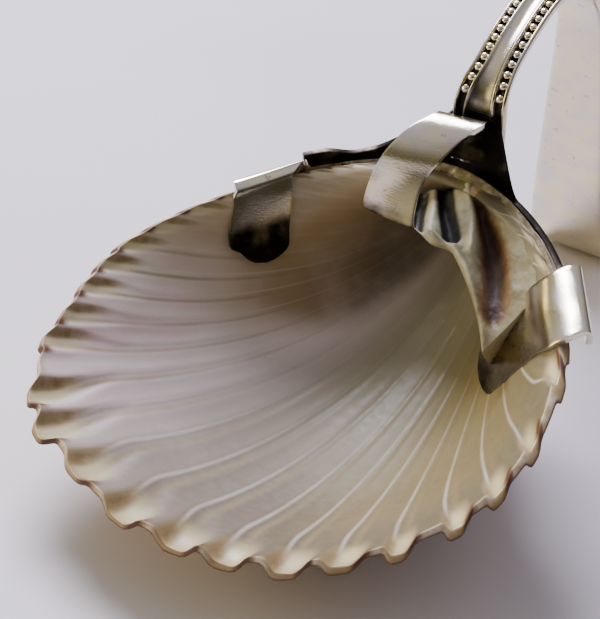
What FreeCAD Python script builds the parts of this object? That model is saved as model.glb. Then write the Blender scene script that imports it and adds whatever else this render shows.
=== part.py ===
"""Caddy spoon: a natural ribbed shell valve as the bowl, held by a silver handle with folded claws.

Shell frame while modelling: margin plane at z = 0, bowl below it, front edge towards -Y, handle towards +Y,
X = 0 in the middle of the valve. At the end everything is tipped forward and lifted until it stands on z = 0.
"""
import FreeCAD, Part
import math
import os

V = FreeCAD.Vector

doc = FreeCAD.newDocument("caddy_spoon")

# Driving sizes, in mm and degrees
SIZES = [
    ("shell_half_width", 22.4, "middle of the valve to either side margin"),
    ("shell_front_reach", 22.1, "widest line to the front margin"),
    ("shell_back_reach", 28.3, "widest line to the back margin"),
    ("bowl_depth", 16.2, "margin plane to the deepest inside point"),
    ("wall", 1.5, "shell wall at the belly"),
    ("edge_wall", 1.1, "shell wall at the margin"),
    ("hinge_wall", 1.3, "shell wall behind the hinge line"),
    ("beak_offset", 3.6, "beak to the right of the middle"),
    ("hinge_inset", 2.1, "back margin behind the hinge line"),
    ("coil_rate", 0.86, "how fast the growth spiral shrinks, per radian"),
    ("beak_lean", 0.10, "sideways drift of the spiral"),
    ("beak_twist", 10.9, "turn of the ribs from margin to beak"),
    ("rib_pitch_front", 6.5, "angle between ribs at the front"),
    ("rib_pitch_left", 3.8, "angle between ribs on the left"),
    ("rib_pitch_right", 5.45, "angle between ribs on the right"),
    ("rib_shift", -3.9, "angle of the rib nearest the front"),
    ("tooth_relief", 1.35, "how far a rib end stands out of the margin"),
    ("groove_relief", 0.5, "rib hollow on the inside at the margin"),
    ("hinge_thickness", 2.6, "hinge plate"),
    ("hinge_drop", 0.35, "hinge plate below the margin plane"),
    ("ledge_depth", 1.6, "seat for the silver on the beak, below the margin plane"),
    ("silver_sheet", 0.6, "silver sheet"),
    ("seat_gap", 0.45, "clearance between the silver arms and the margin"),
    ("claw_gap", 0.4, "clearance between a claw and the inside of the bowl"),
    ("claw_width_left", 5.6, "left claw"),
    ("claw_width_middle", 5.6, "middle claw"),
    ("claw_width_right", 6.6, "right claw"),
    ("claw_reach_left", 4.2, "left claw, inwards from the margin in plan"),
    ("claw_reach_right", 8.6, "right claw, inwards from the margin in plan"),
    ("claw_place_left", -62.0, "direction of the left claw seen from the beak"),
    ("claw_place_right", 57.0, "direction of the right claw seen from the beak"),
    ("arm_height", 2.2, "arm above the margin plane"),
    ("root_height", 7.0, "top of the flare above the margin plane"),
    ("flare_width", 3.4, "how far the flare spreads along the arms"),
    ("handle_offset", 2.1, "handle to the right of the middle"),
    ("handle_neck", 4.3, "handle width at its narrowest"),
    ("handle_end_width", 10.5, "handle width near its end"),
    ("handle_thickness", 1.25, "handle"),
    ("root_bend", 2.8, "bend radius at the foot of the handle"),
    ("rise_angle", 31.0, "handle slope above the foot bend"),
    ("gentle_radius", 24.0, "first arc of the handle"),
    ("crest_slope", 8.0, "handle slope where the gentle arc ends"),
    ("crest_radius", 13.0, "second arc, over the top"),
    ("fall_angle", 82.0, "downward slope of the falling stretch"),
    ("flick_radius", 12.0, "arc that lays the end on the table"),
    ("bead_pitch", 1.15, "bead to bead"),
    ("bead_height", 0.42, "bead above its channel"),
    ("rest_tilt", 20.0, "forward tip of the margin plane at rest"),
]

sheet = doc.addObject("Spreadsheet::Sheet", "sizes")
for row, (alias, value, note) in enumerate(SIZES, start=1):
    sheet.set("A%d" % row, alias)
    sheet.set("B%d" % row, str(value))
    sheet.set("C%d" % row, note)
    sheet.setAlias("B%d" % row, alias)
doc.recompute()


def size(alias):
    return float(sheet.get(alias))


def smooth_step(x, low, high):
    """0 below low, 1 above high, smooth between."""
    u = min(1.0, max(0.0, (x - low) / (high - low)))
    return u * u * (3.0 - 2.0 * u)


def mix(a, b, share):
    return a + (b - a) * share


# Solids from rows of points

def solid_from(points, triangles):
    """A closed solid of flat faces."""
    shape = Part.Shape()
    shape.makeShapeFromMesh(([tuple(p) for p in points], triangles), 0.0005)
    solid = Part.Solid(shape.Shells[0] if shape.Shells else shape)
    if solid.Volume < 0.0:
        solid.reverse()
    return solid


def swept(loops):
    """A solid through closed loops with equal numbers of points, capped at both ends."""
    count = len(loops[0])
    points = [p for loop in loops for p in loop]
    triangles = []
    for i in range(len(loops) - 1):
        for j in range(count):
            a = i * count + j
            b = i * count + (j + 1) % count
            triangles.append((a, b, b + count))
            triangles.append((a, b + count, a + count))
    last = (len(loops) - 1) * count
    for j in range(1, count - 1):
        triangles.append((0, j + 1, j))
        triangles.append((last, last + j, last + j + 1))
    return solid_from(points, triangles)


def between(near, far):
    """Triangles between two lines of (station, point index) whose stations may differ."""
    triangles = []
    i = 0
    j = 0
    while i < len(near) - 1 or j < len(far) - 1:
        near_left = i < len(near) - 1
        far_left = j < len(far) - 1
        if near_left and (not far_left or near[i + 1][0] <= far[j + 1][0]):
            triangles.append((near[i][1], far[j][1], near[i + 1][1]))
            i += 1
        else:
            triangles.append((near[i][1], far[j][1], far[j + 1][1]))
            j += 1
    return triangles


# The valve's outline and growth spiral

EDGE = size("edge_wall")
BEAK = size("beak_offset")


def egg(x, y, inset):
    """Negative inside the egg-shaped outline, positive outside."""
    middle = size("hinge_inset") - size("shell_back_reach")
    back = y > middle
    reach = size("shell_back_reach") if back else size("shell_front_reach")
    power = 2.1
    if back:
        power = 1.8 if x > 0 else 1.6
    across = abs(x) / (size("shell_half_width") - inset)
    along = abs(y - middle) / (reach - inset)
    return across ** power + along ** power - 1.0


def margin_distance(theta, axis_y, inset):
    """From the hinge axis to the margin; theta is 0 at the front and grows to the right."""
    low = 0.0
    high = 4.0 * size("shell_half_width")
    for _ in range(40):
        middle = (low + high) / 2.0
        if egg(BEAK + middle * math.sin(theta), axis_y - middle * math.cos(theta), inset) < 0.0:
            low = middle
        else:
            high = middle
    return low


def rib_angle(number):
    """Direction of a rib seen from the beak; the ribs crowd on the left."""
    soft = 0.5
    front = size("rib_pitch_front")
    left = size("rib_pitch_left")
    right = size("rib_pitch_right")
    angle = size("rib_shift") + front * number
    angle += (front - left) * soft * math.log(1.0 + math.exp(-(number + 3.3) / soft))
    angle -= (front - right) * soft * math.log(1.0 + math.exp((number - 1.1) / soft))
    return math.radians(angle)


def coil(x0, y0, turn, axis_y, depth_scale):
    """Follow the growth spiral from a margin point towards the beak."""
    shrink = math.exp(-size("coil_rate") * turn)
    reach = (axis_y - y0) * shrink
    x = x0 * shrink + size("beak_lean") * reach * math.sin(turn)
    y = reach * math.cos(turn)
    z = -reach * math.sin(turn) * depth_scale
    twist = math.radians(size("beak_twist")) * (1.0 - shrink)
    return V(BEAK + x * math.cos(twist) - y * math.sin(twist),
             axis_y - x * math.sin(twist) - y * math.cos(twist), z)


def rib_crest(number):
    """1 on a rib and 0 midway between ribs: narrow crests with broad arches between."""
    return 1.0 - abs(math.sin(math.pi * number)) ** 0.75


def rib_fade(theta):
    """Ribs are strong in front and fade towards the hinge."""
    return 1.0 - 0.92 * smooth_step(abs(theta), math.radians(44.0), math.radians(64.0))


def depth_scale(depth, axis_y):
    """Height scale that gives the middle of the valve this depth."""
    rate = size("coil_rate")
    turn = math.atan(1.0 / rate)
    return depth / (margin_distance(0.0, axis_y, 0.0) * math.exp(-rate * turn) * math.sin(turn))


INNER_AXIS = -size("hinge_wall")
INNER_SCALE = depth_scale(size("bowl_depth"), INNER_AXIS)
OUTER_SCALE = depth_scale(size("bowl_depth") + size("wall"), 0.0)
LAST_TURN = 2.55


def rib_numbers():
    """Places across the valve, four to a strong rib and two to a weak one."""
    numbers = []
    for quarter in range(-160, 160):
        number = quarter / 4.0
        offset = (number % 1.0)
        if offset == 0.25:
            number -= 0.09
        if offset == 0.75:
            number += 0.09
        theta = rib_angle(number)
        if abs(theta) > math.radians(62.0) and offset in (0.25, 0.75):
            continue
        if abs(theta) < math.radians(85.0) and margin_distance(theta, 0.0, EDGE) * math.cos(theta) > -INNER_AXIS + 0.5:
            numbers.append(number)
    return numbers


def turns(count):
    """Turns of the spiral whose chords bow out evenly."""
    end = math.exp(-size("coil_rate") * LAST_TURN / 2.0)
    return [-2.0 / size("coil_rate") * math.log(mix(1.0, end, i / count)) for i in range(count + 1)]


def coil_rows(inset, relief, bias, power, axis_y, scale, numbers, rows):
    """Columns of points, one per place across the valve, from the margin to the beak."""
    columns = [(-margin_distance(-math.pi / 2.0, axis_y, inset), axis_y)]
    for number in numbers:
        theta = rib_angle(number)
        radius = margin_distance(theta, 0.0, inset)
        radius += relief * (rib_crest(number) ** power - bias) * rib_fade(theta)
        columns.append((radius * math.sin(theta), -radius * math.cos(theta)))
    columns.append((margin_distance(math.pi / 2.0, axis_y, inset), axis_y))
    return [[coil(x0, y0, turn, axis_y, scale) for turn in turns(rows)] for x0, y0 in columns]


def valve_skin(columns, flip):
    """Triangles over the columns, with the open beak end closed by a fan."""
    height = len(columns[0])
    points = [p for column in columns for p in column]
    triangles = []
    for i in range(len(columns) - 1):
        for j in range(height - 1):
            a = i * height + j
            b = a + height
            triangles.append((a, b, b + 1))
            triangles.append((a, b + 1, a + 1))
    rim = [columns[i][-1] for i in range(len(columns))]
    centre = V(0, 0, 0)
    for p in rim:
        centre = centre + p
    centre = centre * (1.0 / len(rim))
    centre.z = centre.z * 0.9
    points.append(centre)
    last = len(columns) * height
    ends = [i * height + height - 1 for i in range(len(columns))]
    for a, b in zip(ends, ends[1:] + ends[:1]):
        triangles.append((a, b, last))
    if flip:
        triangles = [(a, c, b) for a, b, c in triangles]
    return points, triangles


def margin_loop(columns):
    """Indices round the mouth of a skin: along the margin, then back along the hinge axis."""
    height = len(columns[0])
    loop = [i * height for i in range(len(columns))]
    last = (len(columns) - 1) * height
    loop += [last + j for j in range(1, height)]
    loop += [j for j in range(height - 1, 0, -1)]
    return loop


SKIN_ROWS = 13


def valve():
    numbers = rib_numbers()
    outer = coil_rows(0.0, size("tooth_relief"), 0.35, 1.0, 0.0, OUTER_SCALE, numbers, SKIN_ROWS)
    inner = coil_rows(EDGE, size("groove_relief"), 0.3, 2.0, INNER_AXIS, INNER_SCALE, numbers, SKIN_ROWS)
    points, triangles = valve_skin(outer, False)
    more_points, more_triangles = valve_skin(inner, True)
    shift = len(points)
    triangles += [(a + shift, b + shift, c + shift) for a, b, c in more_triangles]
    outer_loop = margin_loop(outer)
    inner_loop = [i + shift for i in margin_loop(inner)]
    count = len(outer_loop)
    for i in range(count):
        j = (i + 1) % count
        triangles.append((outer_loop[i], inner_loop[j], outer_loop[j]))
        triangles.append((outer_loop[i], inner_loop[i], inner_loop[j]))
    return solid_from(points + more_points, triangles)


# Hinge plate, in shares of the half width: inner edge, height, and a point outside the margin

HINGE_LINE = [
    (-0.47, -0.26, 0.00, -0.60, 0.10),
    (-0.20, -0.14, 0.00, -0.25, 0.20),
    (0.00, -0.19, 0.00, 0.00, 0.25),
    (0.10, -0.25, 0.00, 0.10, 0.25),
    (0.21, -0.31, -0.02, 0.35, 0.20),
    (0.33, -0.41, -0.08, 0.55, 0.10),
    (0.39, -0.41, -0.15, 0.74, -0.02),
]
HALF = size("shell_half_width")


def hinge_plate():
    """A plate that closes the back of the mouth and sinks towards its right end."""
    thick = size("hinge_thickness")
    drop = size("hinge_drop")
    loops = []
    for x, y, z, far_x, far_y in HINGE_LINE:
        top = z * HALF - drop
        loops.append([V(x * HALF, y * HALF, top - thick), V(x * HALF, y * HALF, top),
                      V(far_x * HALF, far_y * HALF, -drop), V(far_x * HALF, far_y * HALF, -thick - drop)])
    return swept(loops)


def prism(outline, low, high):
    """An upright prism over an outline in shares of the half width."""
    points = [V(x * HALF, y * HALF, low) for x, y in outline]
    return Part.Face(Part.makePolygon(points + points[:1])).extrude(V(0.0, 0.0, high - low))


def wall_middle():
    """The solid inside the middle of the shell wall, without ribs."""
    numbers = [number * 2.0 for number in range(-12, 12) if -16 < number * 2.0 < 12]
    numbers = [n for n in numbers if abs(rib_angle(n)) < math.radians(70.0)]
    axis_y = INNER_AXIS / 2.0
    scale = (INNER_SCALE + OUTER_SCALE) / 2.0
    columns = coil_rows(EDGE * 0.55, 0.0, 0.0, 1.0, axis_y, scale, numbers, 9)
    points, triangles = valve_skin(columns, False)
    loop = margin_loop(columns)
    centre = len(points)
    points.append(V(0.0, -size("shell_half_width"), 0.0))
    for i in range(len(loop)):
        triangles.append((loop[(i + 1) % len(loop)], loop[i], centre))
    return solid_from(points, triangles)


VIEW_Y = -0.9 * HALF


def seen_angle(spot):
    """Direction of a place seen from inside the valve; 0 is at the back and it grows to the right."""
    return math.atan2(spot.x, spot.y - VIEW_Y)


def outline_point(angle, offset):
    """A point off the outline in a direction seen from inside the valve."""
    centre_y = VIEW_Y
    ray = V(math.sin(angle), math.cos(angle), 0.0)
    low = 0.0
    high = 3.0 * HALF
    for _ in range(40):
        middle = (low + high) / 2.0
        if egg(ray.x * middle, centre_y + ray.y * middle, 0.0) < 0.0:
            low = middle
        else:
            high = middle
    spot = V(ray.x * low, centre_y + ray.y * low, 0.0)
    step = 0.001
    slope = V(egg(spot.x + step, spot.y, 0.0) - egg(spot.x, spot.y, 0.0),
              egg(spot.x, spot.y + step, 0.0) - egg(spot.x, spot.y, 0.0), 0.0)
    slope.normalize()
    return spot + slope * offset


def shell_bowl():
    plate = hinge_plate().common(wall_middle())
    ridge = prism([(0.02, 0.02), (0.09, 0.03), (0.30, -0.27), (0.25, -0.33)], -0.1 * HALF, 0.03 * HALF)
    knob = Part.makeCylinder(0.05 * HALF, 0.11 * HALF, V(0.075 * HALF, -0.25 * HALF, -0.1 * HALF))
    slot = prism([(-0.03, -0.03), (0.01, -0.01), (0.21, -0.30), (0.15, -0.29)], -0.1 * HALF, 0.1 * HALF)
    pit = prism([(0.19, -0.05), (0.25, -0.06), (0.41, -0.24), (0.55, -0.50), (0.49, -0.53), (0.33, -0.29)],
                -0.16 * HALF, 0.1 * HALF)
    plate = plate.cut(pit).cut(slot).fuse([ridge, knob])
    angles = [math.radians(a) for a in range(-68, 72, 4)]
    seat = [outline_point(a, 0.15) for a in angles]
    far = 0.5 * HALF
    seat += [V(seat[-1].x, far, 0.0), V(seat[0].x, far, 0.0)]
    seat = [V(p.x, p.y, -size("ledge_depth")) for p in seat]
    ledge = Part.Face(Part.makePolygon(seat + seat[:1])).extrude(V(0.0, 0.0, HALF))
    return valve().fuse(plate).cut(ledge)


# The silver: arms along the margin, claws folded into the bowl, and the handle

def wall_height(x, y):
    """Height of the smooth inside of the bowl at a place in plan; 0 outside it."""
    low = 0.0
    high = math.pi / 2.0 - 0.02
    reach = 0.0
    for _ in range(30):
        turn = (low + high) / 2.0
        shrink = math.exp(-size("coil_rate") * turn)
        twist = math.radians(size("beak_twist")) * (1.0 - shrink)
        along = x - BEAK
        across = INNER_AXIS - y
        reach = (across * math.cos(twist) - along * math.sin(twist)) / math.cos(turn)
        x0 = along * math.cos(twist) + across * math.sin(twist) - size("beak_lean") * reach * math.sin(turn)
        if egg(BEAK + x0 / shrink, INNER_AXIS - reach / shrink, EDGE) < 0.0:
            low = turn
        else:
            high = turn
    return -reach * math.sin(low) * INNER_SCALE


def strip(path, along, across, width, thick, taper):
    """A bent strip; path holds (along, height) of its lower face, taper the width shares at its stations."""
    loops = []
    for i, (u, z) in enumerate(path):
        before = path[max(i - 1, 0)]
        after = path[min(i + 1, len(path) - 1)]
        du = after[0] - before[0]
        dz = after[1] - before[1]
        length = math.hypot(du, dz)
        nu = -dz / length
        nz = du / length
        half = width * taper[i] / 2.0
        low = along(u) + V(0.0, 0.0, z)
        high = along(u + nu * thick) + V(0.0, 0.0, z + nz * thick)
        loops.append([low - across * half, low + across * half, high + across * half, high - across * half])
    return swept(loops)


def claw_seat(place):
    """Where a claw crosses the margin, and the margin's direction there."""
    theta = math.radians(place)
    step = 0.01
    spots = []
    for angle in (theta - step, theta, theta + step):
        radius = margin_distance(angle, 0.0, 0.0)
        spots.append(V(BEAK + radius * math.sin(angle), -radius * math.cos(angle), 0.0))
    across = spots[2] - spots[0]
    across.normalize()
    return spots[1], across


def side_claw(place, slide, width, line):
    """A claw over the margin; line holds (inward distance, lowest height) of its lower face."""
    start, across = claw_seat(place)
    inward = V(-across.y, across.x, 0.0)
    foot = -size("seat_gap") - 0.8 * size("silver_sheet")

    def along(u):
        return start + inward * u + across * (slide * max(u, 0.0))

    path = [(foot, -0.3), (foot, 0.5), (foot + 0.2, 0.75), (-0.1, 0.8)]
    taper = [1.0, 1.0, 1.0, 1.0]
    for i, (u, z) in enumerate(line):
        heights = []
        for share in (-0.5, -0.25, 0.0, 0.25, 0.5):
            spot = along(u) - inward * size("claw_gap") + across * (share * width)
            heights.append(wall_height(spot.x, spot.y))
        path.append((u, max(z, max(heights) + 0.1)))
        taper.append((1.0, 1.0, 0.97, 0.85, 0.55)[max(0, 4 - (len(line) - 1 - i))])
    return strip(path, along, across, width, size("silver_sheet"), taper)


HANDLE_X = size("handle_offset")


def arm_top(x):
    """Height of the arms' upper edge: a flare at the handle, low towards the claws."""
    low = 0.25 * size("arm_height")
    if x > HANDLE_X:
        near = HANDLE_X + 0.5 * size("handle_neck")
        return mix(size("root_height"), low, smooth_step(x, near, near + 0.9 * size("flare_width")))
    away = HANDLE_X - 0.45 * size("handle_neck") - x
    flare = math.exp(-max(0.0, away / size("flare_width")) ** 1.5)
    claw_side = smooth_step(-x, 0.42 * HALF, 0.56 * HALF) * 0.35 * size("arm_height")
    return mix(low, size("root_height"), flare) + claw_side


def arms():
    """One band round the back of the valve, from claw to claw."""
    loops = []
    gap = size("seat_gap")
    wide = gap + size("silver_sheet")
    left, left_way = claw_seat(size("claw_place_left"))
    right, right_way = claw_seat(size("claw_place_right"))
    first = seen_angle(left + left_way * (size("claw_width_left") * 0.5))
    last = seen_angle(right - right_way * (size("claw_width_right") * 0.5))
    for i in range(35):
        angle = mix(first, last, i / 34.0)
        inner = outline_point(angle, gap)
        outer = outline_point(angle, wide)
        top = arm_top(inner.x)
        foot = -size("ledge_depth") * (1.0 - 0.5 * smooth_step(abs(inner.x), 0.3 * HALF, 0.6 * HALF))
        loops.append([V(inner.x, inner.y, foot), V(inner.x, inner.y, top),
                      V(outer.x, outer.y, top), V(outer.x, outer.y, foot)])
    return swept(loops)


def root_y():
    """Middle of the handle's upright foot, behind the margin."""
    return egg_back(HANDLE_X) + size("seat_gap") + size("silver_sheet") * 0.8


def egg_back(x):
    """How far back the outline lies at x."""
    middle = size("hinge_inset") - size("shell_back_reach")
    share = 1.0 - (abs(x) / HALF) ** 1.8
    return middle + size("shell_back_reach") * share ** (1.0 / 1.8)


def bends(straight):
    """Handle pieces as (length, heading at the start, heading at the end), in degrees."""
    rise = size("rise_angle")
    slope = size("crest_slope")
    fall = -size("fall_angle")
    end = -size("rest_tilt")
    radian = math.pi / 180.0
    return [
        (size("root_height") - 0.6, 90.0, 90.0),
        (size("root_bend") * (90.0 - rise) * radian, 90.0, rise),
        (size("gentle_radius") * (rise - slope) * radian, rise, slope),
        (size("crest_radius") * (slope - fall) * radian, slope, fall),
        (straight, fall, fall),
        (size("flick_radius") * (end - fall) * radian, fall, end),
    ]


def handle_spot(s, pieces):
    """Place and heading of the handle's middle line after length s."""
    y = root_y()
    z = 0.6
    heading = 90.0
    for length, start, stop in pieces:
        part = min(s, length)
        heading = mix(start, stop, part / length)
        turn = math.radians(heading - start)
        chord = part if abs(turn) < 1e-9 else part * math.sin(turn / 2.0) / (turn / 2.0)
        course = math.radians((heading + start) / 2.0)
        y += chord * math.cos(course)
        z += chord * math.sin(course)
        s -= part
        if s <= 0.0:
            break
    return y, z, math.radians(heading)


def rest_height(y, z):
    tilt = math.radians(size("rest_tilt"))
    return y * math.sin(tilt) + z * math.cos(tilt)


def belly_height():
    """Lowest point of the bowl at rest, before it is lifted."""
    columns = coil_rows(0.0, size("tooth_relief"), 0.35, 1.0, 0.0, OUTER_SCALE, rib_numbers(), SKIN_ROWS)
    return min(rest_height(p.y, p.z) for column in columns for p in column)


def handle_pieces():
    """The falling stretch is as long as it takes for the end to lie on the table."""
    trial = bends(10.0)
    total = sum(piece[0] for piece in trial)
    y, z, _ = handle_spot(total, trial)
    end_height = rest_height(y, z) - END_UNDERSIDE
    steep = math.sin(math.radians(size("fall_angle") - size("rest_tilt")))
    return bends(10.0 + (end_height - belly_height()) / steep)


END_UNDERSIDE = 0.5 * size("handle_thickness") + 0.05


def half_width(s, total):
    """Half the handle's width at length s: a narrow neck, a wide rounded end."""
    neck = size("handle_neck") / 2.0
    end = size("handle_end_width") / 2.0
    foot = size("root_height") + size("root_bend")
    wide = mix(neck, end, smooth_step(s, foot + 6.0, total - end) ** 1.3)
    wide += 0.25 * neck * (1.0 - smooth_step(s, 0.6 * foot, 1.2 * foot))
    last = max(0.0, (s - (total - end)) / end)
    return max(wide * math.sqrt(max(0.0, 1.0 - last * last)), 0.36 * end)


def handle_blade():
    """The handle: a plain rim, a row of beads in a channel on each side and a hollow panel between ridges."""
    pieces = handle_pieces()
    total = sum(piece[0] for piece in pieces)
    thick = size("handle_thickness")
    pitch = size("bead_pitch")
    rim = thick / 2.0 - 0.12
    floor = thick / 2.0 - 0.34
    crown = floor + size("bead_height")
    ridge = thick / 2.0 + 0.05
    hollow = thick / 2.0 - 0.3
    # distance in from the edge (or share of the half width when negative) and height, right half from below
    profile = [(0.15, -thick / 2.0 + 0.1), (0.0, rim - 0.1), (0.28, rim), (0.34, floor), (0.56, None),
               (0.88, None), (1.12, floor), (1.32, ridge), (-0.35, hollow)]
    plain = []
    marks = [0.0]
    for length, start, stop in pieces:
        steps = max(2, int(abs(stop - start) / 11.0), int(length / 6.0))
        plain += [marks[-1] + length * (i / steps) for i in range(steps)]
        marks.append(marks[-1] + length)
    plain += [total - size("handle_end_width") / 2.0 * (1.0 - share) for share in (0.0, 0.35, 0.65, 0.85, 1.0)]
    plain = sorted(s for s in set(plain) if s == total or s <= total - 0.7)
    first = marks[1] + 0.3
    count = int((total - size("handle_end_width") * 0.55 - first) / pitch)
    beads = [0.0]
    for i in range(count):
        middle = first + pitch * (i + 0.5)
        beads += [middle - 0.5 * pitch, middle - 0.2 * pitch, middle + 0.2 * pitch]
    beads += [first + pitch * count, total]

    def spot(s, inset, height, side):
        y, z, heading = handle_spot(s, pieces)
        wide = half_width(s, total)
        if height > 0.0:
            height = mix(rim, height, smooth_step(min(s, total - s), 0.0, 1.5))
        x = wide - inset if inset >= 0.0 else -inset * wide
        x = max(x, 0.0)
        if 0.0 < inset:
            x = max(x, 0.2 * wide * (1.4 - inset))
        return V(HANDLE_X + side * x, y - height * math.sin(heading), z + height * math.cos(heading))

    points = []
    lines = []

    def add_line(stations, inset, heights, side):
        line = []
        for s, height in zip(stations, heights):
            line.append((s, len(points)))
            points.append(spot(s, inset, height, side))
        lines.append(line)

    add_line(plain, -0.0001, [-thick / 2.0 - 0.05] * len(plain), 1.0)
    for side, order in ((1.0, profile), (-1.0, profile[::-1])):
        for inset, height in order:
            if height is None:
                tops = [floor] + [floor, crown, crown] * count + [floor, floor]
                add_line(beads, inset, tops, side)
            else:
                add_line(plain, inset, [height] * len(plain), side)
    triangles = []
    for near, far in zip(lines, lines[1:] + lines[:1]):
        triangles += between(near, far)
    for end, flip in ((0, True), (-1, False)):
        ring = [line[end][1] for line in lines]
        under = [(-points[i].x, i) for i in (ring[1], ring[0], ring[-1])]
        upper = [(-points[i].x, i) for i in ring[2:-1]]
        cap = between(under, upper)
        triangles += [(a, c, b) if flip else (a, b, c) for a, b, c in cap]
    return solid_from(points, triangles)


STRAP_TURN = -13.0
STRAP_PATH = [
    (0.30, 1.5), (0.30, 3.2), (0.30, 4.9), (0.50, 6.0), (1.05, 6.75), (1.9, 7.1), (3.6, 7.15), (5.6, 6.85),
    (7.6, 6.15), (9.2, 5.0), (10.3, 3.5), (10.95, 1.9), (11.1, 0.9), (10.85, 0.3),
]
STRAP_SHARES = [0.72, 0.72, 0.74, 0.8, 0.84, 0.87, 0.9, 0.93, 0.96, 1.0, 1.02, 1.0, 0.95, 0.9]


def strap_face():
    """Where the middle claw is soldered on: a point of the face and its forward direction."""
    turn = math.radians(STRAP_TURN)
    return V(HANDLE_X - 1.0, root_y() - size("handle_thickness") * 0.75, 0.0), V(math.sin(turn), -math.cos(turn), 0.0)


def centre_claw():
    """A strap that rises before the handle, bends forward over the hinge and down to its tip."""
    start, forward = strap_face()
    across = V(-forward.y, forward.x, 0.0)
    half = size("silver_sheet") / 2.0
    loops = []
    for i, (u, z) in enumerate(STRAP_PATH):
        before = STRAP_PATH[max(i - 1, 0)]
        after = STRAP_PATH[min(i + 1, len(STRAP_PATH) - 1)]
        du = after[0] - before[0]
        dz = after[1] - before[1]
        length = math.hypot(du, dz)
        aside = forward * (-dz / length * half)
        lift = V(0.0, 0.0, du / length * half)
        middle = start + forward * u + V(0.0, 0.0, z)
        side = across * (size("claw_width_middle") * STRAP_SHARES[i] / 2.0)
        loops.append([middle - aside - lift - side, middle - aside - lift + side,
                      middle + aside + lift + side, middle + aside + lift - side])
    return swept(loops)


def solder_pad():
    """The flat on the handle that the middle claw is soldered to."""
    start, forward = strap_face()
    across = V(-forward.y, forward.x, 0.0)
    half = across * (size("claw_width_middle") * 0.36)
    deep = forward * -1.6
    low = V(0.0, 0.0, 1.5)
    high = V(0.0, 0.0, 4.6)
    corners = [start - half, start + half, start + half + deep, start - half + deep]
    return swept([[p + low for p in corners], [p + high for p in corners]])


def handle():
    left = side_claw(size("claw_place_left"), 0.55, size("claw_width_left"),
                     [(0.45, 0.55), (0.9, -0.6), (1.5, -2.2), (2.1, -3.6), (2.7, -5.0), (3.2, -6.0), (3.6, -6.9)])
    right = side_claw(size("claw_place_right"), 0.0, size("claw_width_right"),
                      [(0.3, 0.7), (1.0, 0.4), (2.4, -0.9), (4.0, -2.3), (5.4, -3.7), (6.1, -5.2), (6.6, -7.0), (7.0, -8.8),
                       (7.3, -10.2), (7.5, -11.2)])
    whole = arms().fuse([left, right, solder_pad(), handle_blade()])
    return whole


def rest(shapes):
    """Tip everything forward and stand it on z = 0, with the middle of its box over the origin."""
    turn = FreeCAD.Rotation(V(1.0, 0.0, 0.0), size("rest_tilt"))
    box = None
    for shape in shapes:
        for point in [turn.multVec(vertex.Point) for vertex in shape.Vertexes]:
            if box is None:
                box = FreeCAD.BoundBox(point, point)
            box.add(point)
    return FreeCAD.Placement(V(-box.Center.x, -box.Center.y, -box.ZMin), turn)


nodes = [("shell_bowl", shell_bowl()), ("handle", handle()), ("centre_claw", centre_claw())]
stand = rest([shape for _, shape in nodes])
os.makedirs("parts", exist_ok=True)
for name, shape in nodes:
    solid = shape.Solids[0] if len(shape.Solids) == 1 else shape
    item = doc.addObject("Part::Feature", name)
    item.Label = name
    item.Shape = solid
    item.Placement = stand
    item.setExpression("Placement.Rotation.Angle", "sizes.rest_tilt * 1 deg")
doc.recompute()
for item in doc.Objects:
    if "Invalid" in item.State or "Error" in item.State:
        raise RuntimeError(item.Name + " failed")
for name, _ in nodes:
    item = doc.getObject(name)
    if item.Shape.isNull() or not item.Shape.isValid() or len(item.Shape.Solids) != 1:
        raise RuntimeError(name + " is not one sound solid")
    item.Shape.exportStep("parts/" + name + ".step")
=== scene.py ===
# %% [markdown]
# # A caddy spoon with a shell bowl
# The bowl is a natural ribbed valve. Three claws of silver sheet fold over its edge, and the handle is a narrow
# bead-edged silver stem that arches up, over and down to the table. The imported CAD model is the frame: each
# piece below is drawn with the same sizes, finer and rounder, and stands for a CAD node.

# %% Load the frame
import math
import bpy
import bmesh
from mathutils import Matrix, Vector, noise


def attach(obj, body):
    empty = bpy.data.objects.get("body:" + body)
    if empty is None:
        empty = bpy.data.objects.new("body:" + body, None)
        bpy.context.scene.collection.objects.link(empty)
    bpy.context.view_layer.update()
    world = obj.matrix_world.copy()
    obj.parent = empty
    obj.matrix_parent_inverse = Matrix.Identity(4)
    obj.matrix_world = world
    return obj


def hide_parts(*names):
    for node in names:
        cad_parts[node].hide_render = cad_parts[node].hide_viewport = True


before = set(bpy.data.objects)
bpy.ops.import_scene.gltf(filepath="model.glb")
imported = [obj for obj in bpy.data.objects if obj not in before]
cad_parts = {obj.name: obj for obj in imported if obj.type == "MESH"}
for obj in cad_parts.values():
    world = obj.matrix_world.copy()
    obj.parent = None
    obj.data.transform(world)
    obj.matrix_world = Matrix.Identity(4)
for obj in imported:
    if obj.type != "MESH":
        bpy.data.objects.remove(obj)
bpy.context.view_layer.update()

# %% [markdown]
# ## One space for the whole spoon
# Shell and silver are described in millimetres with the shell's margin in the plane z = 0, the front towards
# -Y and the handle towards +Y. At rest the spoon is tipped forward and stands on the table, so every point
# passes through the same turn and shift on its way into the scene.

# %% Rest position
TURN = Matrix.Rotation(math.radians(20.0), 3, "X")
SHIFT = Vector((0.0294, -2.5130, 24.2353))
MM_PER_M = 1000.0
MM = 0.001
# where the photographer's eye was, in the shell's own millimetres
EYE = Vector((41.73, -83.17, 77.39))


def at_rest(point):
    """Millimetres in the shell's own frame to metres on the table."""
    return (TURN @ Vector(point) + SHIFT) * MM


def mix(a, b, share):
    return a + (b - a) * share


def smooth_step(x, low, high):
    u = min(1.0, max(0.0, (x - low) / (high - low)))
    return u * u * (3.0 - 2.0 * u)


def fade_out(x, low, high):
    return 1.0 - smooth_step(x, low, high)


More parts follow.
